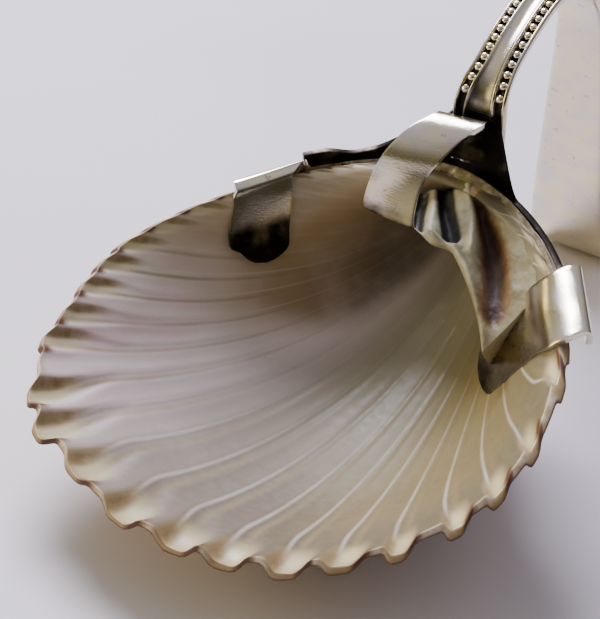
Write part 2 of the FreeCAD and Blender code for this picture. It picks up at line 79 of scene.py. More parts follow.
def bump_at(x, middle, spread):
    """A smooth hill of height 1."""
    return math.exp(-((x - middle) / spread) ** 2)


print("the shell's beak stands at", at_rest((3.6, 0.0, 0.0)))

# %% [markdown]
# ## How a shell grows
# A valve grows only at its margin, a little larger each time, while it coils round the hinge. Every point of
# the margin therefore follows a shrinking spiral back to the beak. An egg-shaped outline with an uneven fan of
# ribs, carried along that spiral, gives the inside and the outside of the bowl.

# %% Outline, ribs and spiral
HALF_WIDTH = 22.4
FRONT_REACH = 22.1
BACK_REACH = 28.3
HINGE_INSET = 2.1
BEAK_X = 3.6
COIL_RATE = 0.86
BEAK_LEAN = 0.10
BEAK_TWIST = math.radians(10.9)
INNER_AXIS = -1.3
INNER_SCALE = 0.9575
OUTER_SCALE = 1.0179
EDGE_WALL = 1.1
LAST_TURN = 2.55
# how square the egg is: a power of 2 would be an ellipse
FRONT_POWER = 2.1
RIGHT_BACK_POWER = 1.8
LEFT_BACK_POWER = 1.6
# direction of rib 0 and the step between ribs, in degrees; from a rib on either side on, the step is smaller
RIB_ZERO = -3.9
RIB_STEP = 6.5
CROWDED_LEFT = (-3.3, 2.7)
CROWDED_RIGHT = (1.1, 1.05)
CROWDING_BLEND = 0.5


def egg(x, y, inset=0.0):
    """Negative inside the outline and positive outside."""
    middle = HINGE_INSET - BACK_REACH
    back = y > middle
    power = (RIGHT_BACK_POWER if x > 0.0 else LEFT_BACK_POWER) if back else FRONT_POWER
    across = abs(x) / (HALF_WIDTH - inset)
    along = abs(y - middle) / ((BACK_REACH if back else FRONT_REACH) - inset)
    return across ** power + along ** power - 1.0


def reach_along(x, y, way_x, way_y, inset=0.0):
    """Distance from a place inside the valve to the outline."""
    low = 0.0
    high = 90.0
    for _ in range(36):
        middle = 0.5 * (low + high)
        if egg(x + way_x * middle, y + way_y * middle, inset) < 0.0:
            low = middle
        else:
            high = middle
    return low


def margin_distance(theta, axis_y, inset):
    return reach_along(BEAK_X, axis_y, math.sin(theta), -math.cos(theta), inset)


def rib_angle(number):
    """Direction of a rib seen from the beak: widest apart in front, crowded on the left."""
    left_rib, left_less = CROWDED_LEFT
    right_rib, right_less = CROWDED_RIGHT
    angle = RIB_ZERO + RIB_STEP * number
    angle += left_less * CROWDING_BLEND * math.log(1.0 + math.exp((left_rib - number) / CROWDING_BLEND))
    angle -= right_less * CROWDING_BLEND * math.log(1.0 + math.exp((number - right_rib) / CROWDING_BLEND))
    return math.radians(angle)


def grown_less(turn):
    """How much smaller the shell was before this much of a turn: 0 at the margin, towards 1 at the beak."""
    return 1.0 - math.exp(-COIL_RATE * turn)


def coil(x0, y0, turn, axis_y, scale):
    """Follow the growth spiral from a margin point towards the beak."""
    shrink = math.exp(-COIL_RATE * turn)
    reach = (axis_y - y0) * shrink
    x = x0 * shrink + BEAK_LEAN * reach * math.sin(turn)
    y = reach * math.cos(turn)
    twist = BEAK_TWIST * (1.0 - shrink)
    return Vector((BEAK_X + x * math.cos(twist) - y * math.sin(twist),
                   axis_y - x * math.sin(twist) - y * math.cos(twist),
                   -reach * math.sin(turn) * scale))


print("front margin to beak", round(margin_distance(0.0, 0.0, 0.0), 2), "mm")

# %% [markdown]
# ## Colours and nodes
# Colours are written as sRGB hex values, as a painter would pick them, and turned to linear once.

# %% Colour and node helpers
def linear(code):
    """An sRGB hex colour as linear RGBA."""
    parts = [int(code[i:i + 2], 16) / 255.0 for i in (0, 2, 4)]
    return tuple(c / 12.92 if c <= 0.04045 else ((c + 0.055) / 1.055) ** 2.4 for c in parts) + (1.0,)


def node(tree, kind, inputs=(), out=0, stops=(), **settings):
    """Adds a node with its settings, inputs (by name, or in order) and colour stops, and returns an output."""
    item = tree.nodes.new("ShaderNode" + kind)
    for name, value in settings.items():
        setattr(item, name, value)
    for name, value in inputs.items() if isinstance(inputs, dict) else enumerate(inputs):
        if isinstance(value, bpy.types.NodeSocket):
            tree.links.new(value, item.inputs[name])
        else:
            item.inputs[name].default_value = value
    for k, (place, code) in enumerate(stops):
        # a fresh ramp has two stops
        stop = item.color_ramp.elements[k] if k < 2 else item.color_ramp.elements.new(place)
        stop.position = place
        stop.color = linear(code)
    return item if out is None else item.outputs[out]


def new_material(name):
    material = bpy.data.materials.new(name)
    material.use_nodes = True
    material.node_tree.nodes.clear()
    return material, material.node_tree


def paint_over(tree, colour, coats):
    """Lays coats over a colour. Each has a paint, and values, sockets or soft steps that give its strength."""
    for paint, *factors in coats:
        strength = None
        for factor in factors:
            if isinstance(factor, tuple):
                factor = node(tree, "MapRange", factor, interpolation_type="SMOOTHSTEP")
            if strength is not None:
                factor = node(tree, "Math", (strength, factor), operation="MULTIPLY")
            strength = factor
        paint = linear(paint) if isinstance(paint, str) else paint
        # a mix node has its share at 0, its two colours at 6 and 7, and the mixed colour at output 2
        colour = node(tree, "Mix", {0: strength, 6: colour, 7: paint}, out=2, data_type="RGBA")
    return colour


def grid_share(vertex):
    """How far across and along a fresh grid a point lies, from 0 to 1."""
    return (vertex.co.x + 1.0) / 2.0, (vertex.co.y + 1.0) / 2.0


def close_up(shape, reach):
    """Joins points that fell together, fills what is open and turns all faces outwards."""
    bmesh.ops.remove_doubles(shape, verts=shape.verts, dist=reach)
    bmesh.ops.holes_fill(shape, edges=[edge for edge in shape.edges if edge.is_boundary], sides=0)
    bmesh.ops.recalc_face_normals(shape, faces=shape.faces)
    print(len(shape.faces), "faces,", sum(1 for edge in shape.edges if not edge.is_manifold), "open edges")


def add_object(name, data):
    item = bpy.data.objects.new(name, data)
    bpy.context.scene.collection.objects.link(item)
    return item


def finish_mesh(shape, name, material):
    """Turns a bmesh drawn in the shell's own millimetres into an object at rest on the table."""
    for vertex in shape.verts:
        vertex.co = at_rest(vertex.co)
    mesh = bpy.data.meshes.new(name)
    shape.to_mesh(mesh)
    shape.free()
    for face in mesh.polygons:
        face.use_smooth = True
    mesh.materials.append(material)
    return add_object(name, mesh)


GRAIN = 0.55
SHELL_IOR = 1.53
print("silver grey in linear light", [round(c, 3) for c in linear("C9C3B8")[:3]])

# %% [markdown]
# ## The inside of the valve
# The inner skin is a fine grid. Its columns follow the ribs and its rows follow the growth spiral. The wall is
# corrugated: between broad, flat, pearly bands run narrow grooves, and each groove ends in a tooth that juts
# out of the margin and hangs a little. No two teeth are alike, so each groove has its own tooth: how far it
# leans to one side, how far it reaches past the arches beside it, and how far it droops.

# %% Teeth and arches of the margin
# groove: (how far its tooth leans, in ribs, how far it reaches and how far it hangs, in mm)
TEETH = {-9: (0.0, 0.45, 0.0), -8: (-0.1, 0.30, 0.0), -7: (-0.1, 0.30, 0.0), -6: (-0.05, 0.35, 0.0),
         -5: (-0.2, 0.60, 0.0), -4: (0.4, 0.90, 0.3), -3: (0.3, 1.15, 0.4), -2: (0.34, 0.55, 0.3),
         -1: (0.4, 0.60, 1.0), 0: (0.38, 0.30, 1.2), 1: (0.2, 0.40, 1.3), 2: (0.2, 0.70, 1.0),
         3: (0.1, 0.70, 0.6), 4: (0.05, 1.00, 0.5), 5: (0.1, 1.00, 0.5), 6: (0.0, 0.75, 0.4),
         7: (0.0, 0.75, 0.35), 8: (0.4, 0.90, 0.3), 9: (0.3, 0.60, 0.3)}
PLAIN_TOOTH = (0.0, 0.25, 0.0)
NARROW_TEETH = range(4, 8)
# direction from the beak in degrees, and how far the arches there stand off the egg in mm
ARCHES = [(-62, 0.0), (-50, 0.35), (-44, 0.0), (-38, -0.3), (-30, 0.7), (-24, 0.75), (-17, -0.1), (-2, -0.1),
          (6, -0.4), (20, -0.7), (30, -0.25), (42, -0.25), (47, 0.25), (58, 0.0)]
RIB_STRENGTH = [(-64, 0.04), (-46, 0.12), (-40, 0.35), (-30, 0.65), (-22, 1.0), (34, 1.0), (45, 0.6),
                (60, 0.03)]


def between(table, x):
    """The value at x of a smooth line through (place, value) pairs."""
    for (low, first), (high, second) in zip(table, table[1:]):
        if x < high:
            return mix(first, second, smooth_step(x, low, high))
    return table[-1][1]


def groove(number, share):
    """1 in a groove and 0 on the bands, the groove's number, and how many widths beside its middle."""
    best = (0.0, round(number), 0.0)
    near_margin = fade_out(share, 0.03, 0.13)
    square = mix(2.6, 4.5, near_margin)
    for nearest in range(math.floor(number) - 1, math.floor(number) + 3):
        lean = TEETH.get(nearest, PLAIN_TOOTH)[0]
        width = mix(0.145, 0.23 if nearest in NARROW_TEETH else 0.30, near_margin)
        sideways = (number - nearest - lean * near_margin) / width
        best = max(best, (math.exp(-abs(sideways) ** square), nearest, sideways))
    return best


def lean_at(number, share):
    """How far the drawn lines lean with the teeth beside them."""
    first = TEETH.get(math.floor(number), PLAIN_TOOTH)[0]
    second = TEETH.get(math.floor(number) + 1, PLAIN_TOOTH)[0]
    return mix(first, second, number - math.floor(number)) * fade_out(share, 0.0, 0.12)


def rib_fade(number):
    return between(RIB_STRENGTH, math.degrees(rib_angle(number)))


def edge_shift(number, share):
    """How far the wall stands off the plain outline, out to its grooves, and how far its teeth hang."""
    depth, nearest, _ = groove(number, share)
    _, reach, hang = TEETH.get(nearest, PLAIN_TOOTH)
    inside_reach = mix(reach, max(reach, 0.75), smooth_step(share, 0.0, 0.03))
    channel = depth * mix(0.28, inside_reach, fade_out(share, 0.03, 0.16))
    channel *= mix(1.0, rib_fade(number), smooth_step(share, 0.0, 0.06))
    ragged = 0.12 * noise.noise(Vector((number * 2.3, share * 20.0, 5.0)))
    ragged *= fade_out(share, 0.0, 0.10)
    arch = between(ARCHES, math.degrees(rib_angle(number))) * fade_out(share, 0.0, 0.3)
    return arch + channel + ragged, hang * depth * fade_out(share, 0.0, 0.06)


def inner_offset(number, share):
    """How far the inside lies off the smooth inner skin, outwards, in units of the margin, and its droop."""
    out, droop = edge_shift(number, share)
    out *= 1.0 - 0.8 * smooth_step(share, 0.4, 0.85)
    crown = 0.10 * math.cos(2.0 * math.pi * number) * rib_fade(number) * fade_out(share, 0.2, 0.7)
    thin_edge = 0.62 * fade_out(share, 0.0, 0.12)
    wander = 0.10 * noise.noise(Vector((number * 0.6, share * 9.0, 8.0)))
    return out + thin_edge - crown + wander, droop


print("grooves at", [round(math.degrees(rib_angle(n)), 1) for n in range(-9, 10)], "degrees")

# %% Grids that follow ribs and spiral
FIRST_RIB = -17.5
LAST_RIB = 13.0


def wall_columns(per_rib):
    """Places across the valve: closer in front, where the ribs are strong."""
    count = int((LAST_RIB - FIRST_RIB) * per_rib)
    return [None] + [mix(FIRST_RIB, LAST_RIB, i / count) for i in range(count + 1)] + [None]


def wall_turns(rows):
    """Turns of the spiral, with most rows close to the margin."""
    last = grown_less(LAST_TURN)
    return [-math.log(1.0 - last * (i / rows) ** 1.35) / COIL_RATE for i in range(rows + 1)]


print("rows at turns", [round(t, 2) for t in wall_turns(6)])

# %% [markdown]
# ## One sheet for the whole valve
# A real valve is one wall. So it is drawn as one grid: it starts at the outside of the beak, runs down the
# ribbed outside to the margin, turns over the rim, and runs back up the pearly inside. Each row is a growth
# step and each column follows a rib. Every point's place is stored too, so that the colours follow the growth.

# %% Rows from the outer beak over the rim to the inner beak
LIP_DROP = 0.45
OUTER_FLATTENING = 0.985


def outer_offset(number, share):
    """Ribs of the outside, with fine growth lines across them, and the droop of the outer lip."""
    out, droop = edge_shift(number, share)
    ridge = 0.3 * groove(number, 0.0)[0] * smooth_step(share, 0.03, 0.12) * rib_fade(number)
    steps = 0.07 * noise.noise(Vector((share * 46.0, number * 0.35, 2.0))) * smooth_step(share, 0.0, 0.03)
    return out + ridge - 0.16 + steps, droop + LIP_DROP * fade_out(share, 0.0, 0.03)


def wall_point(number, side, outside, turn):
    """A point of the outer or inner skin; number is None on the hinge axis."""
    axis_y = 0.0 if outside else INNER_AXIS
    inset = 0.0 if outside else EDGE_WALL
    scale = OUTER_SCALE * OUTER_FLATTENING if outside else INNER_SCALE
    if number is None:
        reach = margin_distance(side * math.pi / 2.0, axis_y, inset)
        return coil(side * reach, axis_y, turn, axis_y, scale)
    theta = rib_angle(number)
    share = grown_less(turn)
    out, droop = outer_offset(number, share) if outside else inner_offset(number, share)
    radius = MARGIN[number, outside] + out
    spot = coil(radius * math.sin(theta), -radius * math.cos(theta), turn, axis_y, scale)
    return spot - Vector((0.0, 0.0, droop))


COLUMNS = wall_columns(15)
MARGIN = {}
for number in COLUMNS[1:-1]:
    theta = rib_angle(number)
    MARGIN[number, True] = margin_distance(theta, 0.0, 0.0)
    MARGIN[number, False] = margin_distance(theta, 0.0, EDGE_WALL)

RIM_LIFT = [(0.12, 0.07), (0.35, 0.12), (0.65, 0.12), (0.88, 0.07)]
ROWS = [("pole", True, LAST_TURN)] + [("skin", True, turn) for turn in wall_turns(80)[::-1]]
ROWS += [("rim", share, lift) for share, lift in RIM_LIFT]
ROWS += [("skin", False, turn) for turn in wall_turns(80)] + [("pole", False, LAST_TURN)]
print(len(COLUMNS), "columns and", len(ROWS), "rows")


# %% Carry the grid to its place
def column_points(number, side):
    outer_edge = wall_point(number, side, True, 0.0)
    inner_edge = wall_point(number, side, False, 0.0)
    points = []
    for kind, first, second in ROWS:
        if kind == "rim":
            points.append(outer_edge.lerp(inner_edge, first) + Vector((0.0, 0.0, second)))
        else:
            points.append(wall_point(number, side, first, second))
    return points


valve = bmesh.new()
bmesh.ops.create_grid(valve, x_segments=len(COLUMNS) - 1, y_segments=len(ROWS) - 1, size=1.0)
MARK_NAMES = ("rib", "growth", "inside", "groove", "left_flank_shade", "underside_brown_and_shade")
marks = {name: valve.verts.layers.float.new(name) for name in MARK_NAMES}
grid = {}
for vertex in valve.verts:
    across, along = grid_share(vertex)
    grid[round(across * (len(COLUMNS) - 1)), round(along * (len(ROWS) - 1))] = vertex
for i, number in enumerate(COLUMNS):
    side = -1.0 if i == 0 else 1.0
    points = column_points(number, side)
    place = number if number is not None else (FIRST_RIB if i == 0 else LAST_RIB) + side
    for j, (kind, first, second) in enumerate(ROWS):
        vertex = grid[i, j]
        vertex.co = points[j]
        share = 0.0 if kind == "rim" else grown_less(second)
        vertex[marks["rib"]] = place - lean_at(place, share)
        vertex[marks["growth"]] = share
        vertex[marks["inside"]] = first if kind == "rim" else (0.0 if first else 1.0)
        depth, _, sideways = groove(place, share)
        vertex[marks["groove"]] = depth
        left = -sideways
        # painted shade on the left flank of each channel
        vertex[marks["left_flank_shade"]] = smooth_step(left, 0.15, 0.6) * fade_out(left, 1.1, 1.5)
        # dark brown beside each tooth: partly its brown underside, partly painted shade under the arch
        vertex[marks["underside_brown_and_shade"]] = smooth_step(sideways, 0.35, 0.75) * fade_out(sideways, 1.3, 1.8)
# both ends of every column meet in one point, the mean of the row beside it
BEAK_ROWS = ((0, 1), (len(ROWS) - 1, len(ROWS) - 2))
for j, beak_row in BEAK_ROWS:
    ring = [grid[i, beak_row].co for i in range(len(COLUMNS))]
    centre = sum(ring, Vector()) / len(ring)
    centre.z *= 0.9
    for i in range(len(COLUMNS)):
        grid[i, j].co = centre
print("wall points", len(valve.verts))

# %% Close the beak and the hinge line
outer_rows = [j for j, row in enumerate(ROWS) if row[0] == "skin" and row[1]]
inner_rows = [j for j, row in enumerate(ROWS) if row[0] == "skin" and not row[1]]
last_column = len(COLUMNS) - 1


def axis_edges(rows):
    """Edges along the hinge axis of one skin, from margin to margin round the beak."""
    wanted = {grid[i, j] for i in (0, last_column) for j in rows}
    return [edge for edge in valve.edges if edge.is_boundary and wanted.issuperset(edge.verts)]


for j, beak_row in BEAK_ROWS:
    bmesh.ops.pointmerge(valve, verts=[grid[i, j] for i in range(len(COLUMNS))], merge_co=grid[0, j].co.copy())
    first = grid[0, beak_row]
    last = grid[last_column, beak_row]
    beside_last = {v for edge in last.link_edges for v in edge.verts}
    beside_last -= {first, last}
    beside_both = [v for edge in first.link_edges for v in edge.verts if v in beside_last]
    valve.faces.new((first, beside_both[0], last))
outer_axis = axis_edges(outer_rows)
inner_axis = axis_edges(inner_rows)
print("axis edges", len(outer_axis), len(inner_axis))
bmesh.ops.bridge_loops(valve, edges=outer_axis + inner_axis)
bmesh.ops.holes_fill(valve, edges=[edge for edge in valve.edges if edge.is_boundary], sides=0)
bmesh.ops.triangulate(valve, faces=[face for face in valve.faces if len(face.verts) > 4])
bmesh.ops.recalc_face_normals(valve, faces=valve.faces)
print("open edges left", sum(1 for edge in valve.edges if not edge.is_manifold))
print("volume mm3", round(valve.calc_volume(), 1))

# %% [markdown]
# ## The hinge
# Behind the mouth lies the hinge plate, where the two valves once met. On this valve it carries a pale knob, a
# black slot, a fan-shaped tooth with a bright edge, a long brown pit where the ligament sat, and a smooth pale
# zone down to the right. One grid follows the plate from its front edge to the back margin. Its relief is a sum
# of ridges and hollows along short lines, as worn shell has no sharp corners.

# %% Lines of the hinge plate
HINGE_FRONT = [(-14.0, -6.8, -1.0), (-12.4, -6.5, -1.3), (-10.4, -5.8, -1.9), (-8.2, -4.7, -2.7),
               (-5.2, -3.9, -3.2), (-2.2, -4.8, -2.5), (0.6, -6.4, -1.9), (2.6, -7.7, -1.4),
               (4.6, -7.6, -1.5), (6.2, -8.7, -1.8), (8.6, -11.0, -2.2), (10.8, -13.4, -3.2),
               (12.2, -15.2, -4.6)]
PLATE_DEPTH = [(0.0, 3.0), (0.30, 3.0), (0.45, 2.1), (0.66, 2.1), (0.85, 3.4)]
HINGE_BACK_X = [-14.6, -12.8, -10.6, -8.0, -5.2, -2.2, 0.8, 3.0, 5.2, 7.4, 10.4, 13.2, 15.2]


def smooth_line(points, share):
    """A point of a smooth line through the given points (Catmull-Rom)."""
    place = share * (len(points) - 1)
    i = min(int(place), len(points) - 2)
    t = place - i
    a, b, c, d = [Vector(points[min(max(k, 0), len(points) - 1)]) for k in (i - 1, i, i + 1, i + 2)]
    return 0.5 * ((2.0 * b) + (c - a) * t + (2.0 * a - 5.0 * b + 4.0 * c - d) * t * t
                  + (3.0 * b - 3.0 * c + d - a) * t ** 3)


def egg_back(x, inset):
    """How far back the outline lies at x."""
    power = RIGHT_BACK_POWER if x > 0.0 else LEFT_BACK_POWER
    share = max(0.0, 1.0 - (abs(x) / (HALF_WIDTH - inset)) ** power)
    return HINGE_INSET - BACK_REACH + (BACK_REACH - inset) * share ** (1.0 / power)


HINGE_MARGIN = [(x, egg_back(x, 0.25), 0.18) for x in HINGE_BACK_X]
print("hinge plate from", HINGE_FRONT[0], "to", HINGE_FRONT[-1])


def away(x, y, line):
    """Distance from a place to a bent line, and the share of the line that lies before the nearest point."""
    best = (1e9, 0.0)
    for k in range(len(line) - 1):
        start = Vector(line[k])
        way = Vector(line[k + 1]) - start
        share = min(1.0, max(0.0, (Vector((x, y)) - start).dot(way) / way.length_squared))
        gap = (Vector((x, y)) - start - way * share).length
        best = min(best, (gap, (k + share) / (len(line) - 1)))
    return best


# form: its line, its height at both ends in mm, how the height changes between, and its half width at both ends
FORMS = {
    "knob": ([(0.4, -2.6), (1.3, -5.2), (2.4, -7.7)], 0.35, 1.15, 2.0, 0.6, 0.75),
    "slot": ([(-0.1, 0.4), (1.9, -2.9), (4.0, -5.9)], 0.9, 1.0, 1.0, 0.75, 0.85),
    "fan face": ([(0.9, 0.2), (3.4, -2.9), (5.5, -6.3)], 0.15, 0.3, 1.0, 0.9, 0.5),
    "fan edge": ([(2.6, -0.1), (4.9, -3.1), (6.5, -6.7)], 0.5, 1.05, 1.0, 0.5, 0.5),
    "outer ridge": ([(6.0, -1.0), (9.8, -5.4), (12.2, -9.6)], 0.28, 0.28, 1.0, 0.6, 0.6),
    "buttress": ([(4.9, -7.7), (8.5, -11.0), (11.9, -14.8)], 0.45, 0.45, 1.0, 0.55, 0.55),
    "left hollow": ([(-1.5, -1.6), (-0.5, -4.4), (0.7, -6.9)], 1.0, 1.0, 1.0, 0.8, 0.8),
    "ledge pit": ([(-10.6, -3.6), (-9.0, -3.9), (-7.2, -3.4)], 0.6, 0.6, 1.0, 0.7, 0.7)}
PIT = [(4.6, -1.2), (7.6, -4.6), (9.7, -7.8), (11.4, -11.6)]
SLOT_DEPTH = 1.3
PIT_DEPTH = 1.35


def hinge_relief(x, y):
    """Height over the plain plate, and how strongly the place is slot, pit or crest."""
    form = {}
    for name, (line, first, last, power, narrow, wide) in FORMS.items():
        gap, along = away(x, y, line)
        form[name] = mix(first, last, along ** power) * bump_at(gap, 0.0, mix(narrow, wide, along))
    gap, along = away(x, y, PIT)
    deepest = math.sin(math.pi * min(1.0, along * 0.9 + 0.1))
    pit = mix(0.45, 1.0, deepest) * bump_at(gap, 0.0, mix(0.75, 1.7, along))
    # the stain stays dark to the pit's lower end, where the pit itself runs out
    brown = mix(pit * 1.15, 0.85 * bump_at(gap, 0.0, 1.5), smooth_step(along, 0.6, 0.9))
    grit = 0.14 * noise.noise(Vector((x * 0.9, y * 0.9, 4.0)))
    grit += 0.05 * noise.noise(Vector((x * 3.1, y * 3.1, 1.0)))
    raised = form["knob"] + form["fan face"] + form["fan edge"] + form["outer ridge"] + form["buttress"]
    sunk = SLOT_DEPTH * form["slot"] + PIT_DEPTH * pit + form["left hollow"] + form["ledge pit"]
    # painted shade: the slot and the hollow left of the knob lie under the middle claw and are coloured black
    # for its shadow
    slot_and_hollow_shade = min(1.0, form["slot"] * 1.2 + form["left hollow"] * 0.75)
    pit_stain = min(1.0, max(brown, form["ledge pit"] * 1.2))
    return raised - sunk + grit, slot_and_hollow_shade, pit_stain, min(1.0, form["fan edge"] + form["knob"] * 0.7)


# %% The hinge grid
HINGE_ROWS = [("back", 0.0), ("back", 0.5), ("under", 0.0), ("front", 0.35), ("front", 0.7), ("edge", 0.0)]
TOP_ROWS = 64
HINGE_ROWS += [("top", (k + 1) / TOP_ROWS) for k in range(TOP_ROWS)]
HINGE_ROWS += [("drop", 0.25), ("drop", 0.8), ("back", 0.0)]
HINGE_STATIONS = 190


def hinge_point(share, kind, amount):
    """A point of the plate: share runs from left to right, and kind and amount say where on its section."""
    front = smooth_line(HINGE_FRONT, share)
    margin = smooth_line(HINGE_MARGIN, share)
    low_front = front + Vector((0.2, 1.8, -between(PLATE_DEPTH, share)))
    low_back = margin.lerp(front, 0.4) + Vector((0.0, 0.0, -2.7))
    spot = margin
    if kind == "top":
        spot = front.lerp(margin, amount)
        spot.z -= 0.45 * math.sin(math.pi * amount)
    elif kind == "edge":
        spot = front + Vector((0.0, 0.0, -0.15))
    elif kind == "front":
        spot = low_front.lerp(front + Vector((0.0, -0.12, -0.3)), amount)
    elif kind == "under":
        spot = low_front
    elif kind == "drop":
        spot = margin.lerp(low_back, amount)
    elif kind == "back":
        spot = low_back.lerp(low_front, amount)
    return spot


hinge = bmesh.new()
bmesh.ops.create_grid(hinge, x_segments=HINGE_STATIONS, y_segments=len(HINGE_ROWS) - 1, size=1.0)
HINGE_MARK_NAMES = ("slot", "pit", "crest", "margin", "outside")
hinge_marks = {name: hinge.verts.layers.float.new(name) for name in HINGE_MARK_NAMES}
for vertex in hinge.verts:
    share, round_section = grid_share(vertex)
    kind, amount = HINGE_ROWS[round(round_section * (len(HINGE_ROWS) - 1))]
    spot = hinge_point(share, kind, amount)
    calm = smooth_step(share, 0.0, 0.06) * fade_out(share, 0.93, 1.0)
    if kind in ("top", "edge"):
        near_edge = smooth_step(amount, 0.0, 0.05) * fade_out(amount, 0.94, 1.0)
        height, slot, pit, crest = hinge_relief(spot.x, spot.y)
        rounded = 0.32 * bump_at(amount, 0.07, 0.06) * smooth_step(share, 0.5, 0.6)
        spot.z += (height * near_edge + rounded) * calm
        for name, value in (("slot", slot * near_edge), ("pit", pit), ("crest", crest), ("margin", amount)):
            vertex[hinge_marks[name]] = value
    vertex[hinge_marks["outside"]] = 1.0 if kind in ("drop", "back") else 0.0
    vertex.co = spot
close_up(hinge, 0.001)

# %% [markdown]
# ## Claws of folded sheet
# Each claw is a ribbon of silver sheet, 0.6 mm thick, bent by hand over the shell's edge. A ribbon is laid as a
# grid between its two edge lines. Then a Solidify modifier gives it the thickness of the sheet and a Bevel
# rounds the cut edges, as filing does. A slow unevenness bends its reflections, as in metal bent over a former.

# %% Ribbons
SHEET = 0.6
FILED_EDGE = 0.14
BLUNT_TIP = 0.30


def ribbon(name, left, right, steps, across, tip, dark_places):
    """A ribbon between two edge lines; tip is the share of the length that narrows to a rounded end."""
    shape = bmesh.new()
    bmesh.ops.create_grid(shape, x_segments=across, y_segments=steps, size=1.0)
    tarnish_and_shade = shape.verts.layers.float.new("tarnish_and_shade")
    for vertex in shape.verts:
        u, v = grid_share(vertex)
        first = smooth_line(left, v)
        last = smooth_line(right, v)
        middle = (first + last) / 2.0
        end = max(0.0, (v - (1.0 - tip)) / tip)
        width = math.sqrt(max(0.0, 1.0 - end ** 2.6)) if end > 0.0 else 1.0
        spot = middle + (first.lerp(last, u) - middle) * max(width, BLUNT_TIP)
        spot.z += 0.05 * noise.noise(spot * 0.35 + Vector((7.0, 0.0, 3.0)))
        vertex.co = spot
        vertex[tarnish_and_shade] = between(dark_places, v)
    shape.normal_update()
    facing = sum(face.normal.dot((EYE - face.calc_center_median()).normalized()) for face in shape.faces)
    if facing < 0.0:
        bmesh.ops.reverse_faces(shape, faces=shape.faces)
    print(name, len(shape.faces), "faces before the sheet gets its thickness")
    return shape


def sheet_thickness(item):
    """The thickness of the sheet, below the drawn face, and its filed edges."""
    solid = item.modifiers.new("sheet", "SOLIDIFY")
    solid.thickness = SHEET * MM
    solid.offset = -1.0
    solid.use_even_offset = True
    edge = item.modifiers.new("filed edges", "BEVEL")
    edge.width = FILED_EDGE * MM
    edge.segments = 2
    edge.limit_method = "ANGLE"
    edge.angle_limit = math.radians(50.0)


LEFT_CLAW_BACK = [(-12.9, -4.9, -1.2), (-12.6, -5.2, 0.2), (-12.5, -5.7, 1.2), (-12.5, -6.2, 1.5),
                  (-12.6, -6.7, 1.4), (-12.6, -7.8, 1.15), (-12.6, -8.35, 0.7), (-12.2, -8.95, -0.5),
                  (-11.9, -9.95, -2.35), (-11.65, -10.8, -4.05), (-11.3, -11.5, -5.55), (-11.6, -12.9, -6.6)]
LEFT_CLAW_FRONT = [(-17.4, -11.0, -1.2), (-17.3, -11.4, 0.2), (-17.1, -11.9, 1.2), (-16.7, -12.4, 1.4),
                   (-16.3, -12.75, 1.2), (-16.0, -13.0, 0.9), (-16.05, -13.55, 0.35), (-15.85, -13.95, -0.3),
                   (-15.6, -15.15, -1.8), (-15.0, -16.1, -3.6), (-14.35, -15.75, -4.4), (-14.0, -15.9, -5.4)]
# black on the lower leg inside the bowl: painted dark reflection and shade of the shell beneath it, laid on as
# tarnish
LEFT_CLAW_DARK = [(0.56, 0.0), (0.68, 0.2), (0.78, 0.95), (1.0, 1.0)]
RIGHT_CLAW_BACK = [(16.9, -5.6, -1.2), (17.2, -5.9, 0.4), (16.9, -6.3, 1.2), (16.0, -7.2, 1.3),
                   (14.9, -8.3, 0.6), (13.7, -8.9, -0.9), (12.9, -9.2, -2.6), (12.0, -9.6, -3.9),
                   (11.25, -10.6, -5.6), (10.6, -11.9, -8.0), (10.9, -13.2, -10.2)]
RIGHT_CLAW_FRONT = [(21.2, -12.4, -1.2), (21.3, -12.9, 0.4), (20.8, -13.5, 1.2), (19.9, -14.5, 1.05),
                    (18.9, -15.2, 0.3), (18.3, -15.5, -0.4), (17.2, -15.3, -2.1), (16.3, -15.3, -3.95),
                    (15.3, -15.2, -5.9), (13.9, -15.3, -8.7), (12.9, -15.3, -10.4)]
# darker on the lower leg inside the bowl: painted dark reflection and shade of the shell beneath it, laid on as
# tarnish
RIGHT_CLAW_DARK = [(0.50, 0.0), (0.60, 0.55), (0.8, 0.7), (1.0, 0.85)]
left_claw = ribbon("left_claw", LEFT_CLAW_BACK, LEFT_CLAW_FRONT, 90, 22, 0.16, LEFT_CLAW_DARK)
right_claw = ribbon("right_claw", RIGHT_CLAW_BACK, RIGHT_CLAW_FRONT, 110, 24, 0.07, RIGHT_CLAW_DARK)

# %% [markdown]
# The middle claw is a strap of its own. It is soldered to the front of the stem, rises beside it, bends forward
# over the hinge and comes down to a square-cut tip.

# %% Middle claw
STRAP_LEFT = [(-1.4, 1.7, 1.5), (-1.4, 1.7, 3.4), (-1.4, 1.6, 5.3), (-1.3, 1.1, 6.7), (-1.2, 0.2, 7.3),
              (-1.7, -1.4, 7.45), (-2.3, -2.6, 7.3), (-2.8, -4.0, 6.9), (-3.4, -5.5, 6.0), (-3.95, -6.5, 4.6),
              (-4.4, -7.2, 2.8), (-4.6, -7.9, 1.0), (-4.5, -8.2, 0.1)]
STRAP_RIGHT = [(3.0, 2.6, 1.5), (3.0, 2.6, 3.4), (3.1, 2.5, 5.3), (3.3, 1.8, 6.7), (3.6, 0.8, 7.3),
               (3.3, -0.6, 7.3), (2.7, -1.7, 6.95), (2.1, -2.9, 6.2), (1.5, -4.1, 5.3), (0.8, -5.2, 4.0),
               (0.5, -6.4, 2.7), (0.7, -7.8, 1.2), (1.2, -8.7, 0.4)]
